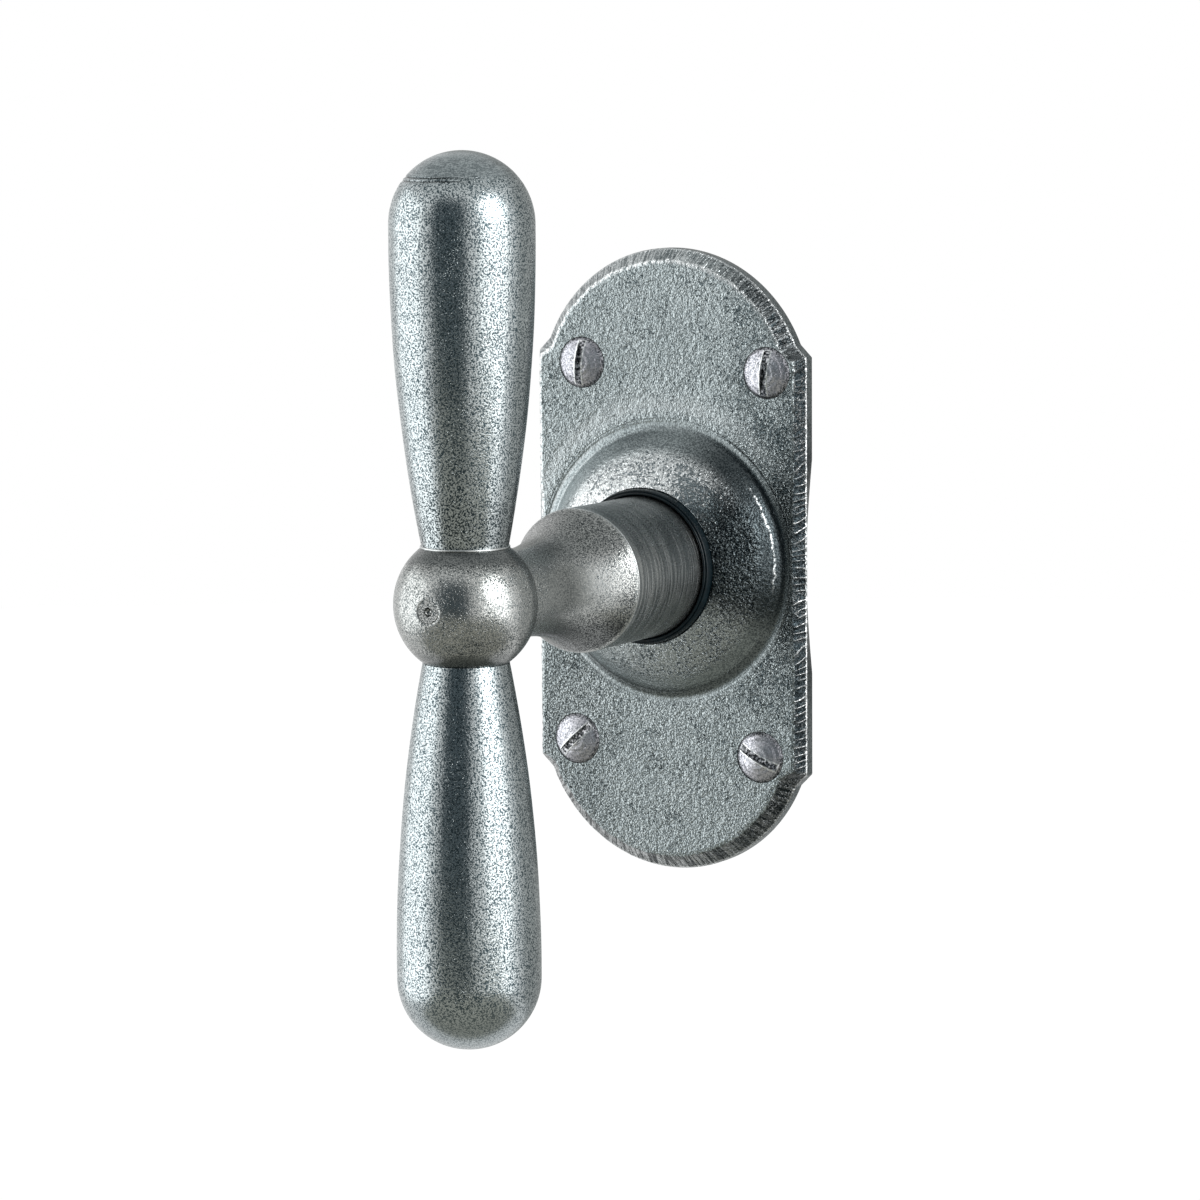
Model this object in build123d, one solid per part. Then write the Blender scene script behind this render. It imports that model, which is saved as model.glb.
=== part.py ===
from build123d import *
import os
from math import acos, asin, cos, degrees, radians, sin, sqrt

# Forged window handle: a two-armed turning handle on a domed, bevelled plate.
# All sizes are in millimetres. The window's face is the plane y = 0, the room is
# towards -Y, +Z is up, and the handle turns about the Y axis. It is shown closed.

# Fits between pieces
running_fit = 0.05
seat_gap = 0.05
press_fit = 0.02
hole_clearance = 0.15

# Cover plate outline: a rectangle with an arched crown at each end
plate_width = 42.8
plate_height = 88.0
crown_radius = 21.35
shoulder_height = 29.2
shoulder_chamfer = 3.0

# Cover plate section: a straight side wall, then a wide hammered bevel
plate_thickness = 3.5
side_wall = 1.9
bevel_inset = 1.4
waist_depth = 0.9
waist_half_length = 15.0

# Dome that is raised in the middle of the plate, hollow at the back
dome_base_radius = 18.8
dome_height = 9.8
dome_hole_radius = 10.9
dome_wall = 2.0
dome_root_fillet = 2.0
dome_hollow_radius = 17.4

# Hidden base plate and the recess for it in the back of the cover plate
base_thickness = 2.0
base_width = 26.8
base_length = 60.0
base_side_clearance = 0.2
base_front_clearance = 0.1

# Slotted screws that hold the cover plate to the window
screw_spacing_x = 29.5
screw_spacing_z = 53.9
screw_shift_x = 0.8
screw_shift_z = 0.45
screw_head_radius = 3.45
screw_head_rise = 1.1
screw_core_radius = 1.55
screw_thread_radius = 1.75
screw_thread_length = 6.0
screw_point_length = 3.2
screw_point_radius = 0.2
slot_width = 0.8
slot_depth = 0.9
slot_angles = {"upper_left": -5.8, "upper_right": -5.8, "lower_left": -48.0, "lower_right": 64.0}

# Standard screws and support lugs of a tilt-and-turn window gear
fixing_spacing = 43.0
fixing_radius = 2.5
fixing_shank_radius = 2.25
fixing_head_radius = 4.2
fixing_reach = 28.0
fixing_tip_chamfer = 0.6
lug_radius = 5.0
lug_length = 10.0
lug_wall_clearance = 0.2
lug_seat_radius = 4.5
lug_seat_depth = 0.4
lug_end_chamfer = 0.5

# Turned ball and neck
ball_centre = 57.6
ball_radius = 9.5
ball_flat_height = 7.6
facet_radius = 1.8
centre_mark_radius = 0.5
centre_mark_depth = 0.45
neck_radius = 6.0
neck_root_fillet = 2.5
flare_start = 44.5
flare_end = 28.8
flare_end_radius = 9.85
collar_radius = 9.9
collar_edge_step = 0.15

# Turned grips, one above the ball and one below it
grip_half_span = 59.2
grip_radius = 9.56
grip_straight = 2.1
grip_base_radius = 5.75
grip_base_chamfer = 0.25

# Threaded stud through the ball that joins the grips
stud_radius = 3.0
stud_half_length = 24.0
stud_end_gap = 1.5
stud_chamfer = 0.6

# Spigot behind the collar, with flats for the detent cam
spigot_radius = 7.0
spigot_end = 0.15
drive_flats = 10.4
ring_groove_depth = 0.45

# Square spindle into the window gear, and the pin that holds it
spindle_size = 7.0
spindle_clearance = 0.06
spindle_depth = 24.0
spindle_bottom_gap = 0.5
spindle_reach = 30.0
spindle_chamfer = 0.8
pin_radius = 1.5
pin_depth = 9.2
pin_end_gap = 0.3

# Detent housing on the front of the base plate
housing_radius = 12.8
housing_depth = 4.2
housing_web = 1.0
housing_chamfer = 0.5
nub_radius = 1.1
nub_length = 1.5
nub_centre = 11.3

# Detent cam and its two leaf springs
cam_thickness = 2.8
cam_flats = 16.4
cam_corner_radius = 9.6
cam_corner_fillet = 0.8
cam_axial_gap = 0.2
spring_thickness = 0.5
spring_width = 2.4
spring_length = 15.0
spring_flex_room = 0.2
spring_flex_length = 10.0
spring_slot_clearance = 0.05

# Rings about the spigot and the collar
bush_front_rise = 1.5
bush_lip_chamfer = 0.5
thrust_washer_thickness = 0.5
disc_spring_thickness = 0.3
disc_spring_height = 0.55
ring_thickness = 0.65
ring_radial_width = 1.6
ring_gap = 4.6
ring_ear_radius = 1.2
ring_ear_centre = 7.3
ring_ear_angle = 24.0
ring_ear_hole = 0.55
ring_pocket_depth = 1.0
ring_pocket_radius = 8.7


# Depths that follow from the sizes above, as y values
plate_front = -plate_thickness
dome_front = -dome_height
base_front = -base_thickness
housing_front = base_front - housing_depth
washer_front = housing_front - thrust_washer_thickness
collar_shoulder = washer_front - disc_spring_height - seat_gap
bush_front = dome_front - bush_front_rise
dome_centre = (
    dome_base_radius**2 - dome_hole_radius**2 + plate_thickness**2 - dome_height**2
) / (2 * (dome_height - plate_thickness))
dome_sphere_radius = sqrt(dome_base_radius**2 + (plate_thickness + dome_centre) ** 2)
bush_radius = dome_hole_radius - press_fit
bush_bore = collar_radius + running_fit
ball_y = -ball_centre


def bar(radius, front, back, x=0.0, z=0.0):
    """A round bar along Y between two depths."""
    middle = (front + back) / 2
    return Pos(x, middle, z) * Rot(X=-90) * Cylinder(radius, back - front)


def taper(front_radius, back_radius, front, back, x=0.0, z=0.0):
    """A round cone along Y between two depths."""
    middle = (front + back) / 2
    return Pos(x, middle, z) * Rot(X=-90) * Cone(front_radius, back_radius, back - front)


def prism(sketch, front, back):
    """A sketch drawn as seen from the room, pulled from one depth to another."""
    return Pos(0, back, 0) * extrude(Plane.XZ * sketch, amount=back - front)


def turned_about_y(*edges):
    """A solid turned about the Y axis from edges given as (radius, y)."""
    return revolve(make_face(edges), axis=Axis.Y)


def screw_places():
    """The four corner screws' names with their x and z."""
    places = {}
    for level, up in (("upper", 1), ("lower", -1)):
        for side, right in (("left", -1), ("right", 1)):
            x = screw_shift_x + right * screw_spacing_x / 2
            z = screw_shift_z + up * screw_spacing_z / 2
            places[f"{level}_{side}"] = (x, z)
    return places


def fixing_places():
    """The heights of the two window fixings."""
    return [fixing_spacing / 2, -fixing_spacing / 2]


def base_outline(extra=0.0):
    """The base plate's round-ended outline, grown by a clearance."""
    return SlotOverall(base_length + 2 * extra, base_width + 2 * extra, rotation=90)


def drive_outline(extra=0.0):
    """The spigot's section where it carries the cam: a round bar with four flats."""
    across = drive_flats + 2 * extra
    return Rectangle(across, across) & Circle(spigot_radius + extra)


# Cover plate: arched outline, bevel, hollow dome, recess and screw holes
def plate_outline():
    ears = Rectangle(plate_width, 2 * (shoulder_height + shoulder_chamfer))
    outline = chamfer(ears.vertices(), shoulder_chamfer)
    crown_centre = plate_height / 2 - crown_radius
    for up in (1, -1):
        outline += Pos(0, up * crown_centre) * Circle(crown_radius)
    return outline


def waist_cutter(right):
    """A long round cutter that draws in the back edge of one side of the plate."""
    slant = sqrt(waist_depth**2 + side_wall**2)
    cosine = side_wall / slant
    depth = waist_depth * cosine
    radius = (waist_half_length**2 + depth**2) / (2 * depth)
    lean = asin(waist_depth / slant)
    edge = Pos(right * plate_width / 2, -side_wall, 0)
    cutter = Pos(radius, 0, 0) * Rot(X=-90) * Cylinder(radius, 4 * plate_thickness)
    turn = Rot(Z=degrees(lean))
    if right > 0:
        return edge * turn * cutter
    return edge * mirror(turn * cutter, about=Plane.YZ)


def dome():
    """The dome with its concave foot, turned about the Y axis and open at the neck."""
    swept = dome_sphere_radius + dome_root_fillet
    bend_y = plate_front - dome_root_fillet
    bend_x = sqrt(swept**2 - (dome_centre - bend_y) ** 2)
    share = dome_sphere_radius / swept
    touch = (bend_x * share, dome_centre + (bend_y - dome_centre) * share)
    half = acos((dome_centre - bend_y) / swept) / 2
    foot_middle = (bend_x - dome_root_fillet * sin(half), bend_y + dome_root_fillet * cos(half))
    crown_x = (dome_hole_radius + touch[0]) / 2
    crown_middle = (crown_x, dome_centre - sqrt(dome_sphere_radius**2 - crown_x**2))
    rim = (dome_hole_radius, dome_front)
    return turned_about_y(
        ThreePointArc(rim, crown_middle, touch),
        ThreePointArc(touch, foot_middle, (bend_x, plate_front)),
        Polyline(
            (bend_x, plate_front),
            (bend_x, plate_front / 2),
            (dome_hole_radius, plate_front / 2),
            rim,
        ),
    )


def cover_plate():
    plate = prism(plate_outline(), plate_front, 0)
    front = plate.faces().sort_by(Axis.Y)[0]
    bevel_depth = plate_thickness - side_wall
    plate = chamfer(front.edges(), bevel_inset, bevel_depth, reference=front)
    cover = plate + dome()
    hollow = Pos(0, dome_centre, 0) * Sphere(dome_sphere_radius - dome_wall)
    cover -= hollow & bar(dome_hollow_radius, dome_front, 1)
    cover -= bar(dome_hole_radius, 2 * dome_front, 1)
    recess_front = base_front - base_front_clearance
    cover -= prism(base_outline(base_side_clearance), recess_front, 1)
    hole_radius = screw_thread_radius + hole_clearance
    sink_radius = screw_head_radius + press_fit
    for x, z in screw_places().values():
        cover -= bar(hole_radius, plate_front - 1, 1, x, z)
        cover -= taper(sink_radius, hole_radius, plate_front, plate_front + sink_radius - hole_radius, x, z)
    for right in (1, -1):
        cover -= waist_cutter(right)
    return cover


# Corner screws: slotted wood screws with a raised countersunk head
def corner_screw(slot_angle):
    cone_back = plate_front + screw_head_radius - screw_core_radius
    top = plate_front - screw_head_rise
    cap_radius = (screw_head_radius**2 + screw_head_rise**2) / (2 * screw_head_rise)
    half = asin(screw_head_radius / cap_radius) / 2
    cap_middle = (cap_radius * sin(half), top + cap_radius * (1 - cos(half)))
    thread_end = screw_thread_length
    screw = turned_about_y(
        ThreePointArc((0, top), cap_middle, (screw_head_radius, plate_front)),
        Polyline(
            (screw_head_radius, plate_front),
            (screw_core_radius, cone_back),
            (screw_core_radius, 0),
            (screw_thread_radius, 0),
            (screw_thread_radius, thread_end),
            (screw_point_radius, thread_end + screw_point_length),
            (0, thread_end + screw_point_length),
            (0, top),
        ),
    )
    slot_back = top + slot_depth
    slot = Box(slot_width, 2 * slot_depth, 3 * screw_head_radius)
    slot = Rot(Y=-slot_angle) * Pos(0, slot_back - slot_depth, 0) * slot
    return screw - slot


def corner_screws():
    places = screw_places()
    return [Pos(x, 0, z) * corner_screw(slot_angles[name]) for name, (x, z) in places.items()]


# Neck bush: the black ring between the dome and the turning collar
def neck_bush():
    ring = bar(bush_radius, bush_front, housing_front) - bar(bush_bore, bush_front - 1, 0)
    lip = ring.edges().filter_by(GeomType.CIRCLE).sort_by(Axis.Y)[:2].sort_by(SortBy.RADIUS)[-1]
    return chamfer(lip, bush_lip_chamfer)


def thrust_washer():
    outer = bush_bore - hole_clearance
    inner = spigot_radius + hole_clearance
    return bar(outer, washer_front, housing_front) - bar(inner, washer_front - 1, 0)


def disc_spring():
    """A dished spring washer that takes up the handle's end play."""
    outer = bush_bore - 2 * hole_clearance
    inner = spigot_radius + 2 * hole_clearance
    low = washer_front - disc_spring_thickness
    rise = disc_spring_height - disc_spring_thickness
    return turned_about_y(
        Polyline(
            (inner, low - rise),
            (outer, low),
            (outer, washer_front),
            (inner, washer_front - rise),
            close=True,
        )
    )


# Detent housing: a moulded drum with a pocket for the cam and the springs
def spring_front():
    """The depth of the leaf springs' front edge."""
    pocket_front = housing_front + housing_web
    return (pocket_front + base_front - spring_width) / 2


def detent_housing():
    housing = bar(housing_radius, housing_front, base_front)
    rim = housing.edges().filter_by(GeomType.CIRCLE).sort_by(Axis.Y)[0]
    housing = chamfer(rim, housing_chamfer)
    housing -= bar(spigot_radius + running_fit, housing_front - 1, 0)
    pocket = Circle(cam_corner_radius + 4 * running_fit)
    flex_edge = cam_corner_radius + spring_thickness + spring_flex_room
    pocket += Rectangle(2 * flex_edge, spring_flex_length)
    slot_outer = cam_flats / 2 + spring_slot_clearance + spring_thickness + spring_slot_clearance
    pocket += Rectangle(2 * slot_outer, spring_length + 2 * spring_slot_clearance)
    pocket -= Rectangle(cam_flats, spring_length + 1) - Circle(cam_corner_radius + 4 * running_fit)
    housing -= prism(pocket, housing_front + housing_web, 0)
    for up in (1, -1):
        housing += bar(nub_radius, base_front - 0.5, base_front + nub_length, 0, up * nub_centre)
    return housing


def detent_spring(right):
    """A flat leaf spring lying on one flat of the cam."""
    x = right * (cam_flats / 2 + spring_slot_clearance + spring_thickness / 2)
    y = spring_front() + spring_width / 2
    return Pos(x, y, 0) * Box(spring_thickness, spring_width, spring_length)


def detent_cam():
    back = base_front - cam_axial_gap
    blank = Rectangle(cam_flats, cam_flats) & Circle(cam_corner_radius)
    blank = fillet(blank.vertices(), cam_corner_fillet)
    return prism(blank - drive_outline(running_fit), back - cam_thickness, back)


# Base plate: the steel plate under the cover, with the bearing for the spigot
def base_plate():
    plate = prism(base_outline(), base_front, 0)
    plate -= bar(spigot_radius + running_fit, base_front - 1, 1)
    plate -= bar(ring_pocket_radius, -ring_pocket_depth, 1)
    sink_radius = fixing_head_radius + seat_gap
    bore = fixing_radius + running_fit
    for z in fixing_places():
        plate -= bar(bore, base_front - 1, 1, 0, z)
        plate -= taper(sink_radius, bore, base_front, base_front + sink_radius - bore, 0, z)
        plate -= bar(lug_seat_radius + press_fit, -lug_seat_depth, 1, 0, z)
    for up in (1, -1):
        plate -= bar(nub_radius + press_fit, base_front - 1, 1, 0, up * nub_centre)
    return plate


def support_lug(z):
    """A sleeve about one fixing screw that enters the window's gear hole."""
    lug = bar(lug_radius, 0, lug_length, 0, z)
    end = lug.edges().filter_by(GeomType.CIRCLE).sort_by(Axis.Y)[-1]
    lug = chamfer(end, lug_end_chamfer)
    lug += bar(lug_seat_radius, -lug_seat_depth, 0.2, 0, z)
    return lug - bar(fixing_radius + lug_wall_clearance, -1, lug_length + 1, 0, z)


def fixing_screw(z):
    """A countersunk machine screw through the base plate and a lug."""
    head_back = base_front + seat_gap + fixing_head_radius - fixing_shank_radius
    thread_start = lug_length + seat_gap
    tip = fixing_reach - fixing_tip_chamfer
    screw = turned_about_y(
        Polyline(
            (0, base_front + seat_gap),
            (fixing_head_radius, base_front + seat_gap),
            (fixing_shank_radius, head_back),
            (fixing_shank_radius, thread_start),
            (fixing_radius, thread_start),
            (fixing_radius, tip),
            (fixing_radius - fixing_tip_chamfer, fixing_reach),
            (0, fixing_reach),
            close=True,
        )
    )
    return Pos(0, 0, z) * screw


# Ball and neck: one turned piece from the ball's front pole to the spigot
def ball_and_neck():
    pole = ball_y - sqrt(ball_radius**2 - facet_radius**2)
    root_x = neck_radius + neck_root_fillet
    root_y = ball_y + sqrt((ball_radius + neck_root_fillet) ** 2 - root_x**2)
    share = ball_radius / (ball_radius + neck_root_fillet)
    touch = (root_x * share, ball_y + (root_y - ball_y) * share)
    towards = Vector(touch[0] - root_x, touch[1] - root_y).normalized() + Vector(-1, 0)
    bend = Vector(root_x, root_y) + towards.normalized() * neck_root_fillet
    flare = TangentArc((neck_radius, -flare_start), (flare_end_radius, -flare_end), tangent=(0, 1))
    groove_radius = spigot_radius - ring_groove_depth
    groove_front = -ring_pocket_depth + seat_gap / 2
    groove_back = groove_front + ring_thickness + seat_gap
    body = turned_about_y(
        Line((0, pole), (facet_radius, pole)),
        ThreePointArc((facet_radius, pole), (ball_radius, ball_y), touch),
        ThreePointArc(touch, (bend.X, bend.Y), (neck_radius, root_y)),
        Line((neck_radius, root_y), (neck_radius, -flare_start)),
        flare,
        Polyline(
            (flare_end_radius, -flare_end),
            (collar_radius, -flare_end + collar_edge_step),
            (collar_radius, collar_shoulder),
            (spigot_radius, collar_shoulder),
            (spigot_radius, groove_front),
            (groove_radius, groove_front),
            (groove_radius, groove_back),
            (spigot_radius, groove_back),
            (spigot_radius, -spigot_end),
            (0, -spigot_end),
            (0, pole),
        ),
    )
    drive_front = housing_front + housing_web
    stock = prism(Circle(2 * spigot_radius), drive_front, 1)
    body -= stock - prism(drive_outline(), drive_front - 1, 2)
    for up in (1, -1):
        flat = Box(4 * ball_radius, 2 * ball_radius, ball_radius)
        body -= Pos(0, ball_y, up * (ball_flat_height + ball_radius / 2)) * flat
    body -= Pos(0, ball_y, 0) * Cylinder(stud_radius + running_fit, 4 * ball_radius)
    socket = spindle_size + spindle_clearance
    body -= prism(Rectangle(socket, socket), -spindle_depth - spindle_bottom_gap, 1)
    body -= Pos(0, -pin_depth, 0) * Rot(Y=90) * Cylinder(pin_radius + press_fit, 3 * collar_radius)
    return body - taper(centre_mark_radius, 0.05, pole, pole + centre_mark_depth)


# Grips: two turned arms that grow from the ball to a round end
def grip(up):
    base = ball_flat_height
    cap_start = grip_half_span - grip_radius
    fullest = cap_start - grip_straight
    with BuildSketch(Plane.XZ) as section:
        with BuildLine():
            flank_foot = (grip_base_radius, base + grip_base_chamfer)
            inner = (grip_base_radius - grip_base_chamfer, base)
            Polyline((0, base), inner, flank_foot)
            TangentArc((grip_radius, fullest), flank_foot, tangent=(0, -1))
            Line((grip_radius, fullest), (grip_radius, cap_start))
            diagonal = grip_radius * sqrt(0.5)
            ThreePointArc(
                (grip_radius, cap_start),
                (diagonal, cap_start + diagonal),
                (0, grip_half_span),
            )
            Line((0, grip_half_span), (0, base))
        make_face()
    body = revolve(section.sketch, axis=Axis.Z)
    hole_top = stud_half_length + stud_end_gap
    body -= Pos(0, 0, hole_top / 2) * Cylinder(stud_radius + running_fit, hole_top)
    return Pos(0, ball_y, 0) * (body if up > 0 else Rot(X=180) * body)


def grip_stud():
    rod = Cylinder(stud_radius, 2 * stud_half_length)
    rod = chamfer(rod.edges().filter_by(GeomType.CIRCLE), stud_chamfer)
    return Pos(0, ball_y, 0) * rod


# Spindle and the pin that holds it in the neck
def spindle():
    rod = prism(Rectangle(spindle_size, spindle_size), -spindle_depth, spindle_reach)
    tip = rod.faces().sort_by(Axis.Y)[-1]
    rod = chamfer(tip.edges(), spindle_chamfer)
    return rod - Pos(0, -pin_depth, 0) * Rot(Y=90) * Cylinder(pin_radius + press_fit, 3 * spindle_size)


def spindle_pin():
    length = 2 * (collar_radius - pin_end_gap)
    return Pos(0, -pin_depth, 0) * Rot(Y=90) * Cylinder(pin_radius, length)


def retaining_ring():
    """A split ring in the spigot's groove, with two ears for the pliers."""
    inner = spigot_radius - ring_groove_depth + running_fit
    ring = Circle(inner + ring_radial_width) - Circle(inner)
    ring -= Pos(0, -inner) * Rectangle(ring_gap, 3 * ring_radial_width)
    for side in (1, -1):
        angle = radians(-90 + side * ring_ear_angle)
        ear = Pos(ring_ear_centre * cos(angle), ring_ear_centre * sin(angle))
        ring += ear * Circle(ring_ear_radius)
        ring -= ear * Circle(ring_ear_hole)
    front = -ring_pocket_depth + seat_gap
    return prism(ring, front, front + ring_thickness)


parts = {
    "cover_plate": [cover_plate()],
    "corner_screws": corner_screws(),
    "neck_bush": [neck_bush()],
    "thrust_washer": [thrust_washer()],
    "disc_spring": [disc_spring()],
    "detent_housing": [detent_housing()],
    "left_detent_spring": [detent_spring(-1)],
    "right_detent_spring": [detent_spring(1)],
    "base_plate": [base_plate()],
    "upper_support_lug": [support_lug(fixing_spacing / 2)],
    "lower_support_lug": [support_lug(-fixing_spacing / 2)],
    "fixing_screws": [fixing_screw(z) for z in fixing_places()],
    "ball_and_neck": [ball_and_neck()],
    "upper_grip": [grip(1)],
    "lower_grip": [grip(-1)],
    "grip_stud": [grip_stud()],
    "spindle": [spindle()],
    "spindle_pin": [spindle_pin()],
    "detent_cam": [detent_cam()],
    "retaining_ring": [retaining_ring()],
}

os.makedirs("parts", exist_ok=True)
for name, pieces in parts.items():
    solids = [solid for piece in pieces for solid in piece.solids()]
    whole = solids[0] if len(solids) == 1 else Compound(solids)
    export_step(whole, f"parts/{name}.step")
    print(name, len(solids), "solid(s), volume", round(sum(s.volume for s in solids), 1))
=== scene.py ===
# %% [markdown]
# # A forged window handle
#
# The handle has two turned grips on a ball, a neck that flares into a collar, and a domed plate
# with a chiselled bevel. This lesson starts from the measured solids, remakes the pieces that show
# worked surfaces, and finishes every piece in iron that was blackened, brushed and waxed.

# %% Load the measured solids
import bmesh
import bpy
from math import asin, atan2, copysign, cos, degrees, exp, hypot, pi, radians, sin, sqrt
from mathutils import Matrix, Vector, noise


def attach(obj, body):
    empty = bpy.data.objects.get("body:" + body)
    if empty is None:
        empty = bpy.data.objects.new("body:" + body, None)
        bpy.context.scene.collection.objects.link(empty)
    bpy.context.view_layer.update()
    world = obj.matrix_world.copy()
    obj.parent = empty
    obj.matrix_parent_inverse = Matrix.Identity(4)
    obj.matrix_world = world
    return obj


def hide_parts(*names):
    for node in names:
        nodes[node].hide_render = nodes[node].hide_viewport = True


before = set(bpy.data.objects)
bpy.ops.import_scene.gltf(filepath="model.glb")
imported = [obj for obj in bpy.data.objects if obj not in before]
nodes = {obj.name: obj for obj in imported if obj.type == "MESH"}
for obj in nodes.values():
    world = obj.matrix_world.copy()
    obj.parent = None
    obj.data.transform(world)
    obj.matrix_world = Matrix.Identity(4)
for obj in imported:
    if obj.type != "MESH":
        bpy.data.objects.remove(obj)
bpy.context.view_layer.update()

# %% [markdown]
# ## Camera
#
# The picture is taken from the right and a little above, with a long lens. The numbers come from
# fitting a pinhole camera to the outline of the plate, the ball and the grips. The handle turns
# about the Y axis, so the azimuth is how far the camera has walked round from straight in front.
# The camera could be placed by eye, but then no edge would lie where the picture has it.

# %% Camera
camera_azimuth = radians(29.74)
camera_height = radians(7.08)
camera_roll = radians(-0.38)
camera_distance = 0.6419
lens_mm = 140.7
aim_depth, aim_right, aim_down = -0.025, 0.00142, 0.00305


def link(obj):
    bpy.context.scene.collection.objects.link(obj)
    return obj


def direction(azimuth, height):
    """The way out from the handle at an angle round from its front and above the horizon."""
    return Vector((sin(azimuth) * cos(height), -cos(azimuth) * cos(height), sin(height)))


back = direction(camera_azimuth, camera_height)
level = Vector((cos(camera_azimuth), sin(camera_azimuth), 0))
upright = back.cross(level)
aim = Vector((0, aim_depth, 0)) + level * aim_right - upright * aim_down
right = level * cos(camera_roll) + upright * sin(camera_roll)
up = upright * cos(camera_roll) - level * sin(camera_roll)

camera = link(bpy.data.objects.new("camera", bpy.data.cameras.new("camera")))
camera.data.lens = lens_mm
camera.data.sensor_width = 36
turned_frame = Matrix((right, up, back)).transposed().to_4x4()
camera.matrix_world = Matrix.Translation(aim + back * camera_distance) @ turned_frame
bpy.context.scene.camera = camera
bpy.context.scene.view_settings.view_transform = "Standard"
print("camera", round(camera_distance * 1000), "mm away, lens", lens_mm, "mm")

# %% [markdown]
# ## Short helpers
#
# The same few steps come back in every piece and every material, so they become functions. A
# node's input can be fed with a number, a colour or another node's output, and `feed` sees to that.


# %% Helpers for objects and shader nodes
def new_object(bm, name, material):
    """A linked object made from a bmesh, which is then freed."""
    mesh = bpy.data.meshes.new(name)
    bm.to_mesh(mesh)
    bm.free()
    mesh.materials.append(material)
    return link(bpy.data.objects.new(name, mesh))


def feed(tree, socket, value):
    """Gives an input a number, a colour or another node's output."""
    if isinstance(value, bpy.types.NodeSocket):
        tree.links.new(value, socket)
    else:
        socket.default_value = (*value, 1) if socket.type == "RGBA" else value


def add(tree, kind, group=None, **values):
    """A new shader node with values for its inputs; a group node also gets its group."""
    made = tree.nodes.new("ShaderNode" + kind)
    if group:
        made.node_tree = group
    for name, value in values.items():
        feed(tree, made.inputs[name.replace("_", " ")], value)
    return made


def feed_all(tree, made, *values):
    """Feeds a node's inputs in order, and returns its output."""
    for socket, value in zip(made.inputs, values):
        feed(tree, socket, value)
    return made.outputs[0]


print("helpers for objects:", new_object.__name__, feed.__name__, add.__name__, feed_all.__name__)


# %% Helpers for sums, colours and noise in a material
def calc(tree, operation, *values, clamp=False):
    made = add(tree, "Math")
    made.operation = operation
    made.use_clamp = clamp
    return feed_all(tree, made, *values)


def times(tree, first, second, clamp=False):
    return calc(tree, "MULTIPLY", first, second, clamp=clamp)


def times_plus(tree, value, factor, more, clamp=False):
    return calc(tree, "MULTIPLY_ADD", value, factor, more, clamp=clamp)


def minus(tree, first, second):
    return calc(tree, "SUBTRACT", first, second)


def remap(tree, value, low, high, to_low=0.0, to_high=1.0):
    """Stretches a value from one range to another and clamps it."""
    made = add(tree, "MapRange", Value=value, From_Min=low, From_Max=high, To_Min=to_low, To_Max=to_high)
    return made.outputs["Result"]


def blend(tree, amount, first, second, way="MIX"):
    """A colour between two colours, or the first multiplied by the second."""
    made = add(tree, "Mix")
    made.data_type = "RGBA"
    made.blend_type = way
    sockets = {s.identifier: s for s in made.inputs}
    for name, value in (("Factor_Float", amount), ("A_Color", first), ("B_Color", second)):
        feed(tree, sockets[name], value)
    return [s for s in made.outputs if s.identifier == "Result_Color"][0]


def noise_at(tree, vector, size_mm, detail=2.0, rough=0.5, distort=0.0):
    """Noise whose blotches are about this many millimetres across."""
    scale = 1000 / size_mm
    made = add(tree, "TexNoise", Vector=vector, Scale=scale, Detail=detail, Roughness=rough, Distortion=distort)
    return made.outputs["Fac"]


def painted(tree, name):
    """A value painted on the vertices, 0 where the piece has none."""
    made = add(tree, "Attribute")
    made.attribute_name = name
    return made.outputs["Fac"]


helpers = (calc, times, times_plus, minus, remap, blend, noise_at, painted)
print("helpers for materials:", ", ".join(helper.__name__ for helper in helpers))

# %% [markdown]
# ## Studio
#
# Iron looks like what it reflects. The room is white, with tall soft boxes on both sides of the
# handle, and dark cards in front and below, where a photographer stands. The cards are seen in
# reflections only, so they give the grips their dark middle band and leave the background white.
# A sky could light the handle too, but lamps and cards can be moved one by one, until each
# reflection lies where it should.

# %% Soft boxes and cards
stage_centre = Vector((0, -0.045, 0))


def face_centre(obj, azimuth, height, distance):
    """Hangs a lamp or a card in degrees right of the camera and above the horizon, facing the handle."""
    way = direction(camera_azimuth + radians(azimuth), radians(height))
    obj.location = stage_centre + way * distance
    obj.rotation_mode = "QUATERNION"
    obj.rotation_quaternion = way.to_track_quat("Z", "Y")


def soft_box(name, azimuth, height, distance, width, tall, brightness, colour=(1, 1, 1), shape="RECTANGLE"):
    """A lamp whose face shows this brightness in a mirror."""
    lamp = bpy.data.lights.new(name, "AREA")
    lamp.shape = shape
    lamp.size = width
    lamp.size_y = tall
    area = width * tall * (pi / 4 if shape == "ELLIPSE" else 1)
    lamp.energy = brightness * pi * area
    lamp.color = colour
    obj = link(bpy.data.objects.new(name, lamp))
    face_centre(obj, azimuth, height, distance)
    obj.visible_camera = False
    print("lamp", name, round(lamp.energy, 2), "W")


def bare_tree(owner, kind):
    """Empties the nodes of a material or the world, and returns the tree and its output."""
    owner.use_nodes = True
    owner.node_tree.nodes.clear()
    return owner.node_tree, add(owner.node_tree, kind).inputs["Surface"]


def reflection_card(name, azimuth, height, distance, width, tall, colour):
    """A card that only reflections see."""
    bm = bmesh.new()
    bmesh.ops.create_grid(bm, x_segments=1, y_segments=1, size=0.5)
    bmesh.ops.scale(bm, vec=(width, tall, 1), verts=bm.verts)
    glowing = bpy.data.materials.new(name)
    tree, surface = bare_tree(glowing, "OutputMaterial")
    feed(tree, surface, add(tree, "Emission", Color=colour).outputs[0])
    card = new_object(bm, name, glowing)
    face_centre(card, azimuth, height, distance)
    for ray in ("camera", "diffuse", "transmission", "shadow"):
        setattr(card, "visible_" + ray, False)


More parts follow.
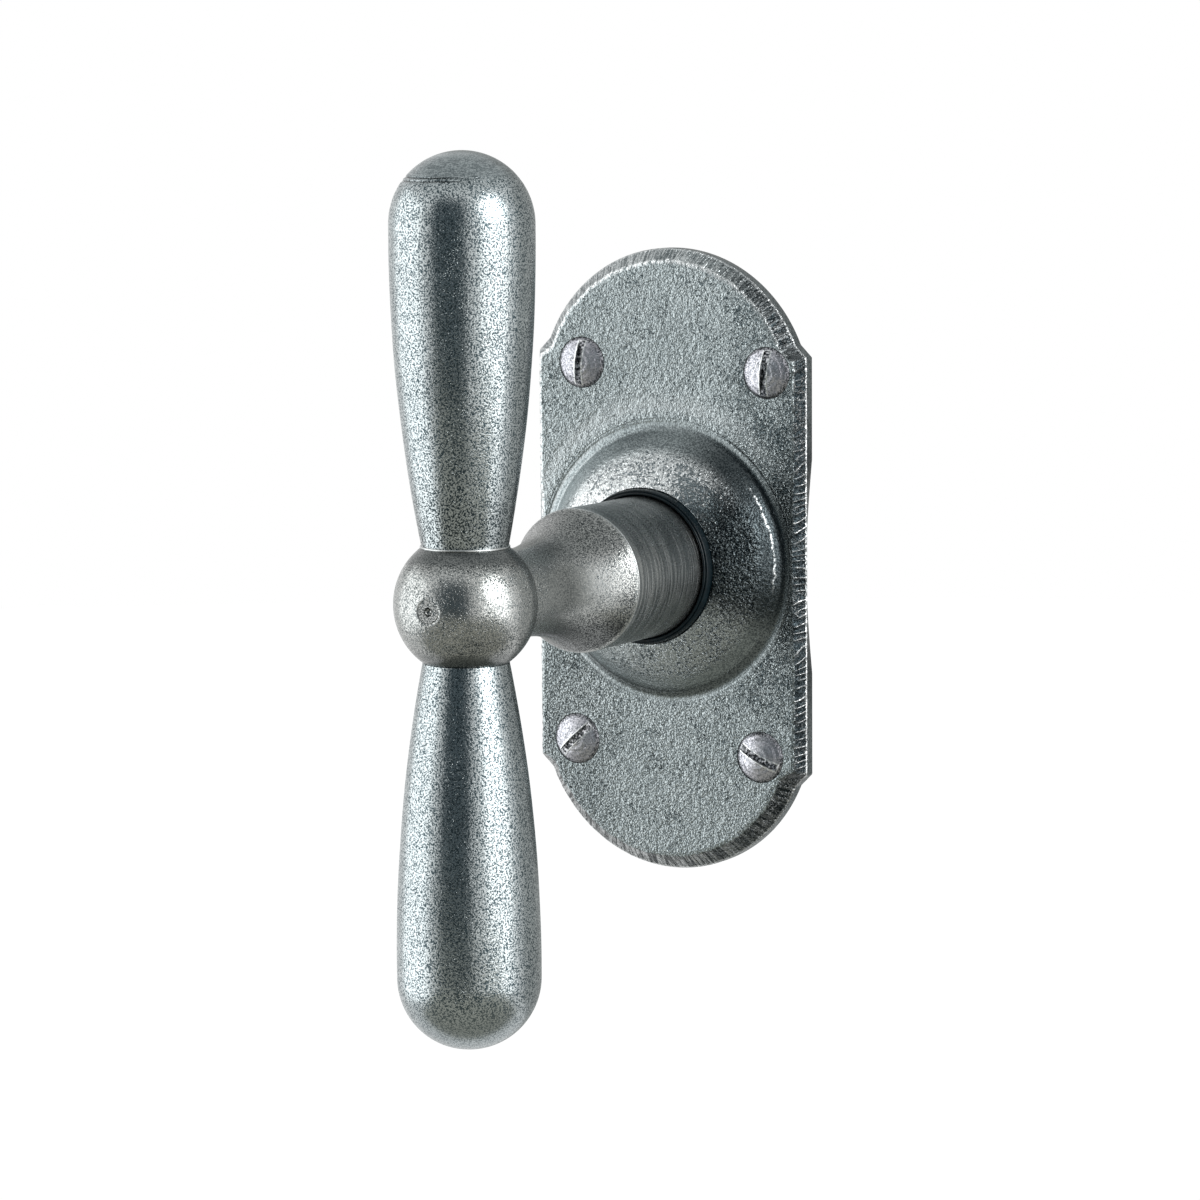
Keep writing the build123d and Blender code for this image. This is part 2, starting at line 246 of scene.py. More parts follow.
soft_box("key_light", 54, -2, 1.0, 0.8, 0.6, 1.8)
soft_box("hot_light", 54, 25, 1.05, 0.6, 0.6, 8.0, shape="ELLIPSE")
soft_box("fill_light", -97, 2, 1.0, 1.1, 1.15, 1.35, (0.97, 0.99, 1.0))
reflection_card("front_card", -20, 0, 0.9, 1.0, 1.7, (0.075, 0.1, 0.115))
reflection_card("low_card", 0, -60, 0.5, 1.5, 0.95, (0.41, 0.41, 0.365))
reflection_card("top_card", 0, 97, 0.85, 1.7, 1.6, (0.78, 0.8, 0.8))
reflection_card("side_card", 142, 0, 1.1, 2.2, 1.7, (0.5, 0.51, 0.5))

# %% [markdown]
# The room and the floor look white to the camera, in reflections and through glass, and light the
# handle less than they look. The floor still takes a little of the handle's shadow. Stronger lamps
# could make the background white as well, but they would bleach the iron.


# %% White room and floor
def seen_directly(tree):
    """1 for rays from the camera, off a glossy surface or through glass, else 0."""
    path = add(tree, "LightPath").outputs
    first = calc(tree, "MAXIMUM", path["Is Camera Ray"], path["Is Glossy Ray"])
    return calc(tree, "MAXIMUM", first, path["Is Transmission Ray"])


room = bpy.data.worlds.new("room")
bpy.context.scene.world = room
tree, surface = bare_tree(room, "OutputWorld")
ambient = add(tree, "Background", Color=(0.9, 0.93, 0.95), Strength=0.6).outputs[0]
white = add(tree, "Background", Color=(1, 1, 1)).outputs[0]
feed(tree, surface, feed_all(tree, add(tree, "MixShader"), seen_directly(tree), ambient, white))

floor_radius, floor_drop = 6.0, 0.75
pale_floor = bpy.data.materials.new("pale_floor")
tree, surface = bare_tree(pale_floor, "OutputMaterial")
white_paint = add(tree, "BsdfDiffuse", Color=(0.95, 0.95, 0.95)).outputs[0]
glow = add(tree, "Emission", Color=(1, 1, 1), Strength=1.06).outputs[0]
glow_share = times(tree, seen_directly(tree), 0.93)
feed(tree, surface, feed_all(tree, add(tree, "MixShader"), glow_share, white_paint, glow))
bm = bmesh.new()
bmesh.ops.create_circle(bm, cap_ends=True, segments=64, radius=floor_radius)
bmesh.ops.translate(bm, vec=(0, 0, -floor_drop), verts=bm.verts)
floor = new_object(bm, "floor", pale_floor)
print("floor at", round(floor.data.vertices[0].co.z * 1000), "mm")

# %% [markdown]
# ## Aged iron
#
# Forged steel that was blackened and brushed back has a fine salt-and-pepper grain, darker pits,
# and slow cloudy changes where scale stayed on. One node group makes these for every iron piece.
# It puts out masks and a height, and each material mixes its own colours from them. Five values
# painted on the vertices steer it: `scale` for black oxide and, in places, painted shade, `crest`
# for metal worn bright and, in places, painted highlights and glints, `smooth` for turned bands
# without pits, `pitted` for more and deeper pits, and `lines` for lathe marks. Noise measured in
# millimetres keeps the grain the same on every piece and from every side.


# %% Iron grain
def new_group(name, inputs, outputs):
    """An empty node group; an input without a number is a vector."""
    group = bpy.data.node_groups.new(name, "ShaderNodeTree")
    for label, value in inputs.items():
        kind = "NodeSocketVector" if value is None else "NodeSocketFloat"
        socket = group.interface.new_socket(label, in_out="INPUT", socket_type=kind)
        if value is not None:
            socket.default_value = value
    for label in outputs:
        group.interface.new_socket(label, in_out="OUTPUT", socket_type="NodeSocketFloat")
    return group, group.nodes.new("NodeGroupInput").outputs, group.nodes.new("NodeGroupOutput").inputs


def put_out(group, made, **values):
    for name, value in values.items():
        group.links.new(value, made[name])
    print("group", group.name, "gives", ", ".join(values))
    return group


def make_iron_grain():
    inputs = {"Vector": None, "Grain Size": 1.0, "Relief Size": 1.0, "Pitting": 0.5, "Smooth": 0.0}
    group, given, made = new_group("iron_grain", inputs, ["Grain", "Pits", "Clouds", "Height"])

    def at_size(size):
        sized = add(group, "VectorMath")
        sized.operation = "DIVIDE"
        thrice = feed_all(group, add(group, "CombineXYZ"), size, size, size)
        return feed_all(group, sized, given["Vector"], thrice)

    fine_place, relief_place = at_size(given["Grain Size"]), at_size(given["Relief Size"])
    worked = minus(group, 1.0, given["Smooth"])
    fine = noise_at(group, fine_place, 0.36, 1.5, 0.5, 0.3)
    relief = noise_at(group, relief_place, 0.7, 3.0, 0.5)
    grain = minus(group, remap(group, fine, 0.425, 0.545), 0.5)
    grain = times_plus(group, grain, times_plus(group, worked, 0.65, 0.35), 0.5)
    clouds = remap(group, noise_at(group, given["Vector"], 9.0, 4.0, 0.55, 0.4), 0.34, 0.66)
    clusters = times_plus(group, noise_at(group, given["Vector"], 3.4, 2.0), 0.4, 0.09)
    edge = times_plus(group, given["Pitting"], 0.14, clusters)
    pits = minus(group, edge, noise_at(group, relief_place, 0.42, 2.0, 0.6, 0.4))
    pits = times(group, pits, 14.0, clamp=True)
    veins = minus(group, noise_at(group, relief_place, 1.1, 2.0, 0.55, 0.5), 0.5)
    cracks = remap(group, calc(group, "ABSOLUTE", veins), 0.012, 0.035, 1.0, 0.0)
    cracks = times(group, cracks, remap(group, given["Pitting"], 1.0, 1.6))
    pits = times(group, calc(group, "MAXIMUM", pits, cracks), worked)
    height = times_plus(group, fine, 0.5, times(group, relief, 0.9))
    height = minus(group, height, times(group, pits, 0.8))
    height = times(group, height, times_plus(group, worked, 0.85, 0.15))
    return put_out(group, made, Grain=grain, Pits=pits, Clouds=clouds, Height=height)


iron_grain = make_iron_grain()


# %% Lathe marks
def make_lathe_marks():
    group, given, made = new_group("lathe_marks", {"Vector": None}, ["Lines"])
    lines = noise_at(group, given["Vector"], 0.32, 2.0, 0.6)
    return put_out(group, made, Lines=remap(group, lines, 0.44, 0.56))


lathe_marks = make_lathe_marks()

# %% [markdown]
# The plate's bevel was cut with a chisel, blow by blow. Its ridges are finer than the mesh, so a
# group draws them from three painted values: the millimetres along the edge, the millimetres in
# from it, and a count that goes up by one with each blow. Four more painted values say how
# strongly each kind of mark shows. The mesh has the same hollows between the same ridges, so the
# drawn lines lie on real edges.


# %% Chisel marks
def make_chisel_marks():
    inputs = {"Run": 0.0, "Blows": 0.0, "Across": 0.0}
    group, given, made = new_group("chisel_marks", inputs, ["Ridges", "Crinkles", "Strokes", "Edge"])

    def along(share_across, slice_at):
        """A place for the noise, in metres along the edge and in from it."""
        run = times(group, given["Run"], 0.001)
        across = times(group, given["Across"], 0.001 * share_across)
        return feed_all(group, add(group, "CombineXYZ"), run, across, slice_at)

    bend = times_plus(group, noise_at(group, along(1, 0.0), 0.5, 2.0), 0.14, -0.07)
    ridge = calc(group, "ADD", calc(group, "PINGPONG", given["Blows"], 0.5), bend)
    ridges = remap(group, ridge, 0.045, 0.1, 1.0, 0.0)
    folds = minus(group, noise_at(group, along(1, 0.01), 0.62, 2.0, 0.6, 0.6), 0.5)
    crinkles = remap(group, calc(group, "ABSOLUTE", folds), 0.005, 0.04, 1.0, 0.0)
    crinkles = times(group, crinkles, remap(group, noise_at(group, along(1, 0.02), 1.2), 0.42, 0.54))
    strokes = remap(group, noise_at(group, along(0.12, 0.03), 0.33, 2.0, 0.6), 0.42, 0.58)
    lumps = times_plus(group, noise_at(group, along(0, 0.04), 0.45, 2.0), -0.6, given["Across"])
    edge = remap(group, lumps, -0.1, 0.02, 1.0, 0.0)
    return put_out(group, made, Ridges=ridges, Crinkles=crinkles, Strokes=strokes, Edge=edge)


chisel_marks = make_chisel_marks()

# %% [markdown]
# The material mixes the metal's colour in layers: two tones of grey, black scale over them, which in
# places is painted shade, the tool's marks, metal worn bright, which in places is a painted
# highlight, and on top grime and painted shade in the grain, the pits and the cuts. The same grain
# drives the roughness and the bump, so dull and bright spots fit the relief. Wear is painted and not
# left to noise, because hands and brushes rub what stands out.

# %% Scale, lathe lines and chisel marks
black_scale_and_shade = (0.014, 0.021, 0.025)
bright_wear_and_highlight = (0.8, 0.82, 0.82)
dirt_and_shade = (0.12, 0.16, 0.18)
print("black scale", black_scale_and_shade, "worn metal", bright_wear_and_highlight, "dirt_and_shade", dirt_and_shade)


def broken_scale(tree, specks):
    """The painted black scale, and the painted shade that shares its value, eaten away by the grain where it is thin.
    """
    kept = painted(tree, "scale")
    thin = times(tree, kept, minus(tree, 1.0, kept))
    broken = times(tree, minus(tree, specks, 0.5), thin)
    return times_plus(tree, broken, 2.0, kept, clamp=True)


def draw_lathe_lines(tree, place, stretch, colour, height):
    """Dark rings left by the lathe tool, where `lines` is painted; their grooves are painted darker, as grime and
    shade.
    """
    stretched = add(tree, "Mapping", Vector=place, Scale=stretch).outputs[0]
    marks = add(tree, "Group", lathe_marks, Vector=stretched).outputs["Lines"]
    dark = times(tree, painted(tree, "lines"), minus(tree, 1.0, marks))
    dark = times(tree, dark, 0.9)
    return blend(tree, dark, colour, dirt_and_shade, "MULTIPLY"), minus(tree, height, dark)


def draw_chisel_marks(tree, colour, height):
    """Bright ridges, with the gaps between the strokes painted dark as grime and shade."""
    given = {name: painted(tree, name.lower()) for name in ("Run", "Blows", "Across")}
    drawn = add(tree, "Group", chisel_marks, **given).outputs
    gaps = times(tree, painted(tree, "strokes"), minus(tree, 1.0, drawn["Strokes"]))
    colour = blend(tree, times(tree, gaps, 0.72), colour, dirt_and_shade, "MULTIPLY")
    light_marks = 0.0
    for name, most in (("Ridges", 1.0), ("Crinkles", 1.0), ("Strokes", 0.6), ("Edge", 1.0)):
        strength = times(tree, painted(tree, name.lower()), most)
        light_marks = times_plus(tree, drawn[name], strength, light_marks, clamp=True)
    return blend(tree, light_marks, colour, bright_wear_and_highlight), times_plus(tree, light_marks, 0.5, height)


# %% Iron material
def surface_nodes(name):
    """A new material: its tree, its Principled shader and the place on the piece."""
    material = bpy.data.materials.new(name)
    material.use_nodes = True
    tree = material.node_tree
    return material, tree, tree.nodes["Principled BSDF"], add(tree, "TexCoord").outputs["Object"]


def set_bump(tree, shader, height, depth_mm):
    bump = add(tree, "Bump", Strength=1.0, Distance=depth_mm / 1000, Height=height)
    feed(tree, shader.inputs["Normal"], bump.outputs["Normal"])


def iron(
    name, light, cloud, rough, grain_size, relief_size, pitting, bump_mm, pepper, lathe_stretch=None, chiselled=False,
):
    """Aged iron; sizes are shares of the group's own, colours are linear."""
    material, tree, shader, place = surface_nodes(name)
    pitting = calc(tree, "ADD", painted(tree, "pitted"), pitting)
    grain = add(
        tree, "Group", iron_grain, Vector=place, Grain_Size=grain_size, Relief_Size=relief_size, Pitting=pitting,
        Smooth=painted(tree, "smooth"),
    ).outputs
    height = grain["Height"]
    specks = minus(tree, 1.0, grain["Grain"])
    colour = blend(tree, grain["Clouds"], light, cloud)
    colour = blend(tree, broken_scale(tree, specks), colour, black_scale_and_shade)
    if lathe_stretch:
        colour, height = draw_lathe_lines(tree, place, lathe_stretch, colour, height)
    if chiselled:
        colour, height = draw_chisel_marks(tree, colour, height)
    # The painted crest is worn metal in places, and painted highlights and glints in others.
    worn = painted(tree, "crest")
    colour = blend(tree, worn, colour, bright_wear_and_highlight)
    # Specks and pits are multiplied by a dark colour: grime in the grain, and painted shade in the pits.
    peppered = times(tree, specks, times_plus(tree, worn, -0.7 * pepper, pepper))
    colour = blend(tree, peppered, colour, dirt_and_shade, "MULTIPLY")
    colour = blend(tree, times(tree, grain["Pits"], 0.85), colour, dirt_and_shade, "MULTIPLY")
    shader.inputs["Metallic"].default_value = 1.0
    feed(tree, shader.inputs["Base Color"], colour)
    feed(tree, shader.inputs["Roughness"], remap(tree, specks, 0.0, 1.0, *rough))
    set_bump(tree, shader, height, bump_mm)
    print(name, "has", len(tree.nodes), "nodes and a bump of", bump_mm, "mm")
    return material


# %% The irons of this handle
grip_iron = iron(
    "grip_iron", light=(0.53, 0.575, 0.58), cloud=(0.465, 0.505, 0.51), rough=(0.21, 0.36), grain_size=0.58,
    relief_size=0.5, pitting=0.25, bump_mm=0.032, pepper=1.0, lathe_stretch=(0.4, 0.4, 1.7),
)
neck_iron = iron(
    "neck_iron", light=(0.52, 0.53, 0.515), cloud=(0.415, 0.425, 0.41), rough=(0.2, 0.36), grain_size=0.5,
    relief_size=0.6, pitting=0.8, bump_mm=0.03, pepper=0.7, lathe_stretch=(0.03, 0.55, 0.03),
)
plate_iron = iron(
    "plate_iron", light=(0.43, 0.475, 0.48), cloud=(0.37, 0.415, 0.42), rough=(0.2, 0.34), grain_size=0.65,
    relief_size=0.9, pitting=0.7, bump_mm=0.24, pepper=0.6, chiselled=True,
)
screw_iron = iron(
    "screw_iron", light=(0.62, 0.62, 0.66), cloud=(0.5, 0.5, 0.54), rough=(0.3, 0.45), grain_size=0.6,
    relief_size=0.8, pitting=0.4, bump_mm=0.06, pepper=0.5,
)
zinc = iron(
    "zinc_steel", light=(0.37, 0.38, 0.37), cloud=(0.31, 0.325, 0.32), rough=(0.28, 0.38), grain_size=1.5,
    relief_size=1.5, pitting=0.05, bump_mm=0.006, pepper=0.2,
)
spring_steel = iron(
    "spring_steel", light=(0.3, 0.31, 0.33), cloud=(0.24, 0.25, 0.27), rough=(0.22, 0.32), grain_size=0.8,
    relief_size=0.8, pitting=0.05, bump_mm=0.004, pepper=0.3,
)


# %% [markdown]
# The ring round the neck, the washer and the spring housing are moulded in black nylon, which has
# a soft gloss. A plain black would look like a hole, so slow clouds change its colour and its
# roughness a little, and fine noise takes the hardness from its highlights.


# %% Black nylon
def nylon():
    material, tree, shader, place = surface_nodes("black_nylon")
    shader.inputs["Specular IOR Level"].default_value = 0.22
    clouds = noise_at(tree, place, 1.6, 3.0, 0.6)
    colour = blend(tree, remap(tree, clouds, 0.35, 0.65), (0.001, 0.004, 0.006), (0.003, 0.009, 0.012))
    feed(tree, shader.inputs["Base Color"], colour)
    feed(tree, shader.inputs["Roughness"], remap(tree, clouds, 0.3, 0.7, 0.22, 0.34))
    set_bump(tree, shader, noise_at(tree, place, 0.2), 0.01)
    return material


black_nylon = nylon()
print("materials:", sorted(m.name for m in bpy.data.materials))

# %% [markdown]
# ## Turned pieces
#
# The grips, the ball and the neck were turned on a lathe after forging, so each is one profile
# spun about its axis. A profile is a list of points, with arcs divided finely enough that no flat
# shows. `spin` with `use_merge` closes the turn, and `remove_doubles` closes the poles. Stretched
# spheres could stand in for the grips, but a profile has the true taper, and takes a groove
# anywhere.


# %% Lathe helpers
def arc(centre, radius, start, end, steps):
    """Points along an arc in the profile's plane, angles in degrees."""
    turn = [radians(start + (end - start) * i / steps) for i in range(steps + 1)]
    return [(centre[0] + radius * cos(t), centre[1] + radius * sin(t)) for t in turn]


def run_to(start, end, steps):
    """Evenly spaced points from start to end, without the first one."""
    return [tuple(a + (b - a) * i / steps for a, b in zip(start, end)) for i in range(1, steps + 1)]


def turned(profile, axis, steps, centre=(0, 0, 0)):
    """Spins a profile of (radius, height) in millimetres about an axis."""
    bm = bmesh.new()
    spots = []
    for radius, height in profile:
        place = Vector((radius, height, 0)) if axis == "Y" else Vector((radius, 0, height))
        spots.append(bm.verts.new((Vector(centre) + place) / 1000))
    edges = [bm.edges.new(pair) for pair in zip(spots, spots[1:])]
    bmesh.ops.spin(
        bm, geom=spots + edges, cent=Vector(centre) / 1000, axis=(0, axis == "Y", axis == "Z"), dvec=(0, 0, 0),
        angle=2 * pi, steps=steps, use_merge=True, use_duplicate=False,
    )
    bmesh.ops.remove_doubles(bm, verts=bm.verts, dist=1e-6)
    bmesh.ops.recalc_face_normals(bm, faces=bm.faces)
    return bm


def only(kind, parts):
    """The vertices, the edges or the faces among mixed parts of a mesh."""
    return [part for part in parts if isinstance(part, getattr(bmesh.types, kind))]


def join(pieces):
    """One bmesh of several, in order."""
    whole = bmesh.new()
    for one in pieces:
        part = bpy.data.meshes.new("part")
        one.to_mesh(part)
        one.free()
        whole.from_mesh(part)
        bpy.data.meshes.remove(part)
    return whole


print("points in a quarter arc:", len(arc((0, 0), 1, 0, 90, 8)))


# %% [markdown]
# No hand-finished piece is quite even, and none wears evenly. `dent` moves the vertices a little in
# and out, and `paint` writes on each vertex how worn or black it is there. A brush in the editor
# could do both, but a formula can be read, changed and run again.


# %% Helpers for paint and for unevenness
def ramp(low, high, value):
    """0 below low, 1 above high, and a soft rise between; low may be the larger."""
    t = min(max((value - low) / (high - low), 0), 1)
    return t * t * (3 - 2 * t)


def peak(centre, width, value):
    """1 at a place, and fading to nothing on both sides of it."""
    return exp(-(((value - centre) / width) ** 2))


def drift(*place):
    """Smooth noise between -1 and 1, which changes over a distance of about 1."""
    return noise.noise(Vector(place))


def paint(bm, **paints):
    """Writes values on every vertex, each worked out from its place in millimetres."""
    for name, value_at in paints.items():
        layer = bm.verts.layers.float.get(name) or bm.verts.layers.float.new(name)
        for v in bm.verts:
            v[layer] = value_at(v.co * 1000)


def dent(bm, amount_mm, size_mm):
    """Hand-forged unevenness: every vertex moves a little along its normal."""
    bm.normal_update()
    for v in bm.verts:
        v.co += v.normal * drift(*(v.co * 1000 / size_mm)) * amount_mm / 1000


def finish_piece(bm, name, material, body, slot, *replaced, smooth_deg=35):
    """Makes the object, shades it, ties it to its body and hides the solid it replaces. The slot is not used."""
    obj = new_object(bm, name, material)
    obj.data.shade_smooth()
    obj.data.set_sharp_from_angle(angle=radians(smooth_deg))
    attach(obj, body)
    if replaced:
        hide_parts(*replaced)
    print(name, len(obj.data.polygons), "faces")
    return obj


print("a ramp from 0 to 1 at its middle:", ramp(0, 1, 0.5))

# %% [markdown]
# ## Grips
#
# Each grip is a long drop: narrow at the ball, fullest near the end, with a round cap. The upper
# one kept two scratches of the lathe tool round its cap, deepest on the left, and a faint wide
# ring below them. The cap itself was finished with the tool and has fine lines, and the rest was
# brushed. The scratches are cut into the mesh and not only drawn, so they catch the light from
# every side. That is why the profile has more points there.

# %% Grips
ball_y = -57.6
grip_root = 7.6
grip_radius = 9.56
grip_top = 59.2
cap_start = grip_top - grip_radius
fullest = cap_start - 2.1
base_radius = 5.75
rim_round = 0.22
scratches = ((55.78, 0.14, 0.11), (55.32, 0.12, 0.1), (48.7, 0.03, 0.4))
scratched_side = Vector((-0.87, -0.5, 0))


def grip_profile():
    swell = fullest - grip_root - 0.25
    rise = grip_radius - base_radius
    flank_radius = (swell**2 + rise**2) / (2 * rise)
    sweep = degrees(asin(swell / flank_radius))
    rim = arc((base_radius - rim_round, grip_root + rim_round), rim_round, -90, -5, 5)
    flank = arc((grip_radius - flank_radius, fullest), flank_radius, -sweep, 0, 70)
    cap = arc((0, cap_start), grip_radius, 0, 36, 24)
    cap += arc((0, cap_start), grip_radius, 36, 41.5, 44)[1:]
    cap += arc((0, cap_start), grip_radius, 41.5, 90, 34)[1:]
    return [(0, grip_root)] + rim + flank + cap


def scratched(p):
    """The way out from the grip's axis at a place, and how deep the scratches are there."""
    out = Vector((p.x, p.y - ball_y, 0))
    if out.length < 0.01:
        return out, 0
    return out.normalized(), ramp(-0.35, 0.5, out.normalized().dot(scratched_side))


def scratch(bm, height, deep, wide):
    """A groove round the upper cap that fades out on the right."""
    for v in bm.verts:
        spot = v.co * 1000
        if abs(spot.z - height) <= 4 * wide:
            out, share = scratched(spot)
            v.co -= out * deep * (0.15 + 0.85 * share) * peak(height, wide, spot.z) / 1000


def scratch_dirt_and_root_shade(p):
    """Black grime in the two scratches, and painted shade a little towards the ball, where the grip meets it."""
    lines = 0.95 * scratched(p)[1] * max(peak(height, 0.09, p.z) for height in (55.8, 55.34))
    return max(lines, 0.32 * ramp(21, 9, p.z))


for name, side in (("upper_grip", 1), ("lower_grip", -1)):
    bm = turned([(r, side * h) for r, h in grip_profile()], "Z", steps=176, centre=(0, ball_y, 0))
    dent(bm, 0.035, 9)
    if side > 0:
        for height, deep, wide in scratches:
            scratch(bm, height, deep, wide)
        paint(bm, scale=scratch_dirt_and_root_shade, lines=lambda p: 0.5 * ramp(54.5, 56.0, p.z) * ramp(58.9, 57.6, p.z))
    paint(bm, smooth=lambda p: ramp(55.4, 56.2, p.z) if side > 0 else 0.75 * ramp(-50, -57, p.z))
    finish_piece(bm, name + "_turned", grip_iron, "handle", "grip_iron", name)

# %% [markdown]
# ## Ball, neck and collar
#
# One forging, turned all over. Its profile runs from the centre mark on the ball's front, over
# the ball and the thin neck, up the flare and along the collar. The ball is cut flat above and
# below where the grips sit, so the plane cuts come after the spin. The upper seat has a thin lip
# that catches the light. A ball, a tube and a cone could be joined instead, but one profile has no
# seams, as one forging has none.

# %% Ball, neck and collar
ball_radius = 9.5
facet = 1.6
neck_radius = 6.0
root_radius = 2.5
flare_start, flare_end, flare_end_radius = -44.5, -28.8, 9.82
collar_radius, collar_round = 9.9, 0.12
ball_back = -48.5


def neck_profile():
    pole = ball_y - sqrt(ball_radius**2 - facet**2)
    root_x = neck_radius + root_radius
    root_y = ball_y + sqrt((ball_radius + root_radius) ** 2 - root_x**2)
    tilt = degrees(atan2(root_y - ball_y, root_x))
    start = degrees(atan2(pole - ball_y, facet))
    mark = arc((0, pole - 0.12), 0.62, 90, 12, 12)
    disc = run_to(mark[-1], (0.8, pole), 2) + run_to((0.8, pole), (facet - 0.12, pole), 5)
    ridge = [(facet - 0.04, pole + 0.07), (facet + 0.06, pole + 0.05)]
    ball = arc((0, ball_y), ball_radius, start + 1.0, tilt, 96)
    root = arc((root_x, root_y), root_radius, tilt + 180, 180, 12)
    run, rise = flare_end - flare_start, flare_end_radius - neck_radius
    flare_radius = (run**2 + rise**2) / (2 * rise)
    sweep = degrees(asin(run / flare_radius))
    neck = run_to((neck_radius, root_y), (neck_radius, flare_start), 8)[:-1]
    flare = arc((neck_radius + flare_radius, flare_start), flare_radius, 180, 180 - sweep, 48)
    shoulder = arc((collar_radius - collar_round, -28.62), collar_round, -80, 0, 5)
    collar = run_to(shoulder[-1], (collar_radius, -7.6), 60) + [(collar_radius - 0.25, -7.3)]
    tail = [(7.0, -7.3), (7.0, -0.15), (0, -0.15)]
    return mark + disc + ridge + ball + root[1:] + neck + flare + shoulder + collar + tail


def only_ball(bm):
    """The geometry of the ball alone, ahead of the neck."""
    near = set(v for v in bm.verts if v.co.y < ball_back / 1000)
    parts = [*bm.edges, *bm.faces]
    return [*near, *(part for part in parts if all(v in near for v in part.verts))]


bm = turned(neck_profile(), "Y", steps=208)
for side in (1, -1):
    cut = bmesh.ops.bisect_plane(
        bm, geom=only_ball(bm), dist=1e-7, plane_co=(0, 0, side * grip_root / 1000), plane_no=(0, 0, side),
        clear_outer=True, clear_inner=False,
    )
    bmesh.ops.contextual_create(bm, geom=only("BMEdge", cut["geom_cut"]))
bmesh.ops.recalc_face_normals(bm, faces=bm.faces)


# %% [markdown]
# The ball's top and bottom and the flare are painted darker, partly as scale and partly as painted
# shade that dims their reflections, and the collar is painted brighter, most on its lower side, as a
# painted highlight. Each function below paints one of these from a vertex's place in millimetres.


# %% Paint of the ball, neck and collar
def neck_smooth(p):
    """The ball is pitted round its middle and smooth near the grips; the collar is turned smooth."""
    if p.y < ball_back:
        return 0.8 * ramp(5.5, 6.3, abs(p.z))
    return 0.65 * ramp(-29, -28.6, p.y) + 0.5 * ramp(-47, -45, p.y) * ramp(-34, -38, p.y)


def neck_scale_and_shade(p):
    """Painted shade with some scale: darker over the ball's top and bottom, in the facet, at the ball's lower right,
    along the top of the collar, and over the flare's top, bottom and ends, where it dims reflections.
    """
    if p.y < ball_back:
        facet_dark = 0.3 * ramp(facet + 0.05, facet - 0.1, hypot(p.x, p.z)) * ramp(-66, -66.7, p.y)
        low_right = 0.3 * ramp(2, 6, p.x) * ramp(-2, -5, p.z)
        return max(0.64 * ramp(4.2, 6.2, p.z), 0.5 * ramp(-4.6, -6.6, p.z), facet_dark, low_right)
    around = max(0.8 * ramp(-2, -6, p.z), 0.55 * ramp(1, 5.5, p.z))
    ends = max(0.34 * ramp(-33, -30, p.y), 0.36 * ramp(-36, -42, p.y))
    flare = ramp(flare_end, -29.3, p.y) * ramp(-47, -40, p.y) * max(around, ends)
    return max(ramp(-30, -28.5, p.y) * 0.3 * ramp(0, 8, p.z), flare)


def neck_painted_highlight(p):
    """Painted highlights: a light line where the flare meets the collar, a bright patch before it, and a brighter
    collar, most on its lower side.
    """
    middle = 0.2 * peak(-34.5, 2.5, p.y) * ramp(-4, 0, p.z) * ramp(5, 2, p.z)
    collar = ramp(flare_end, -28.4, p.y) * (0.24 + 0.18 * ramp(-2, -8, p.z))
    return max(0.6 * peak(-28.66, 0.09, p.y), middle, collar)


paint(bm, smooth=neck_smooth, lines=lambda p: 0.85 * ramp(flare_end, -28.5, p.y), crest=neck_painted_highlight, scale=neck_scale_and_shade)
finish_piece(bm, "ball_and_neck_turned", neck_iron, "handle", "neck_iron", "ball_and_neck")

lip = arc((base_radius + 0.02, grip_root + 0.02), 0.17, -70, 80, 8)
bm = turned([(5.2, 7.45)] + lip + [(5.2, 7.8), (5.2, 7.45)], "Z", steps=128, centre=(0, ball_y, 0))
# The lip is painted bright all round: a painted highlight.
paint(bm, smooth=lambda p: 1.0, crest=lambda p: 0.5)
finish_piece(bm, "seat_lip", neck_iron, "handle", "neck_iron")

# %% [markdown]
# ## Neck bush
#
# A black ring closes the gap between the dome and the collar. It stands a little proud of the
# dome, and its rounded lip has two fine steps that show as thin light lines. A plain ring with
# bevelled edges would lose these lines, so the ring is spun from a profile too.

# %% Neck bush
bush = [(10.0, -6.2), (10.0, -10.7), (10.12, -11.1)]
bush += arc((10.3, -11.02), 0.2, 200, 320, 8) + [(10.5, -10.98)]
bush += arc((10.66, -10.9), 0.14, 220, 350, 6) + [(10.84, -10.6), (10.88, -10.3), (10.88, -6.2)]
bm = turned(bush + bush[:1], "Y", steps=176)
finish_piece(bm, "neck_bush_moulded", black_nylon, "fixed", "black_nylon", "neck_bush")

# %% [markdown]
# ## Cover plate
#
# The plate's edge can be seen from its middle at every angle, and so can the bevel, the dome's
# foot and the hollow behind. So the whole plate is made of rings: the first ring is the back
# edge, and each next one is extruded from the last and moved, while every vertex keeps its
# angle round the middle. On the way the bevel gets its chisel marks, the face its unevenness, and
# the vertices their paint. A dome could be joined to a flat plate as well, but the seam would show
# in the soft curve of its foot.

# %% Plate sizes and edge
half_width = 21.4
side_top = 29.2
notch_z = 30.9
crown_radius, crown_middle = 21.35, 22.65
crown_foot = 21.3
wall_y, face_y = -1.5, -3.5
foot_radius, foot_fillet, foot_turn = 19.72, 2.0, 48.4
dome_middle, dome_radius, dome_hole, inner_radius = 11.97, 24.35, 10.9, 22.35
face_gap = 0.62
rim_step = 0.158
bevel_slope = 1.9
half_run = crown_foot + crown_radius * pi / 2


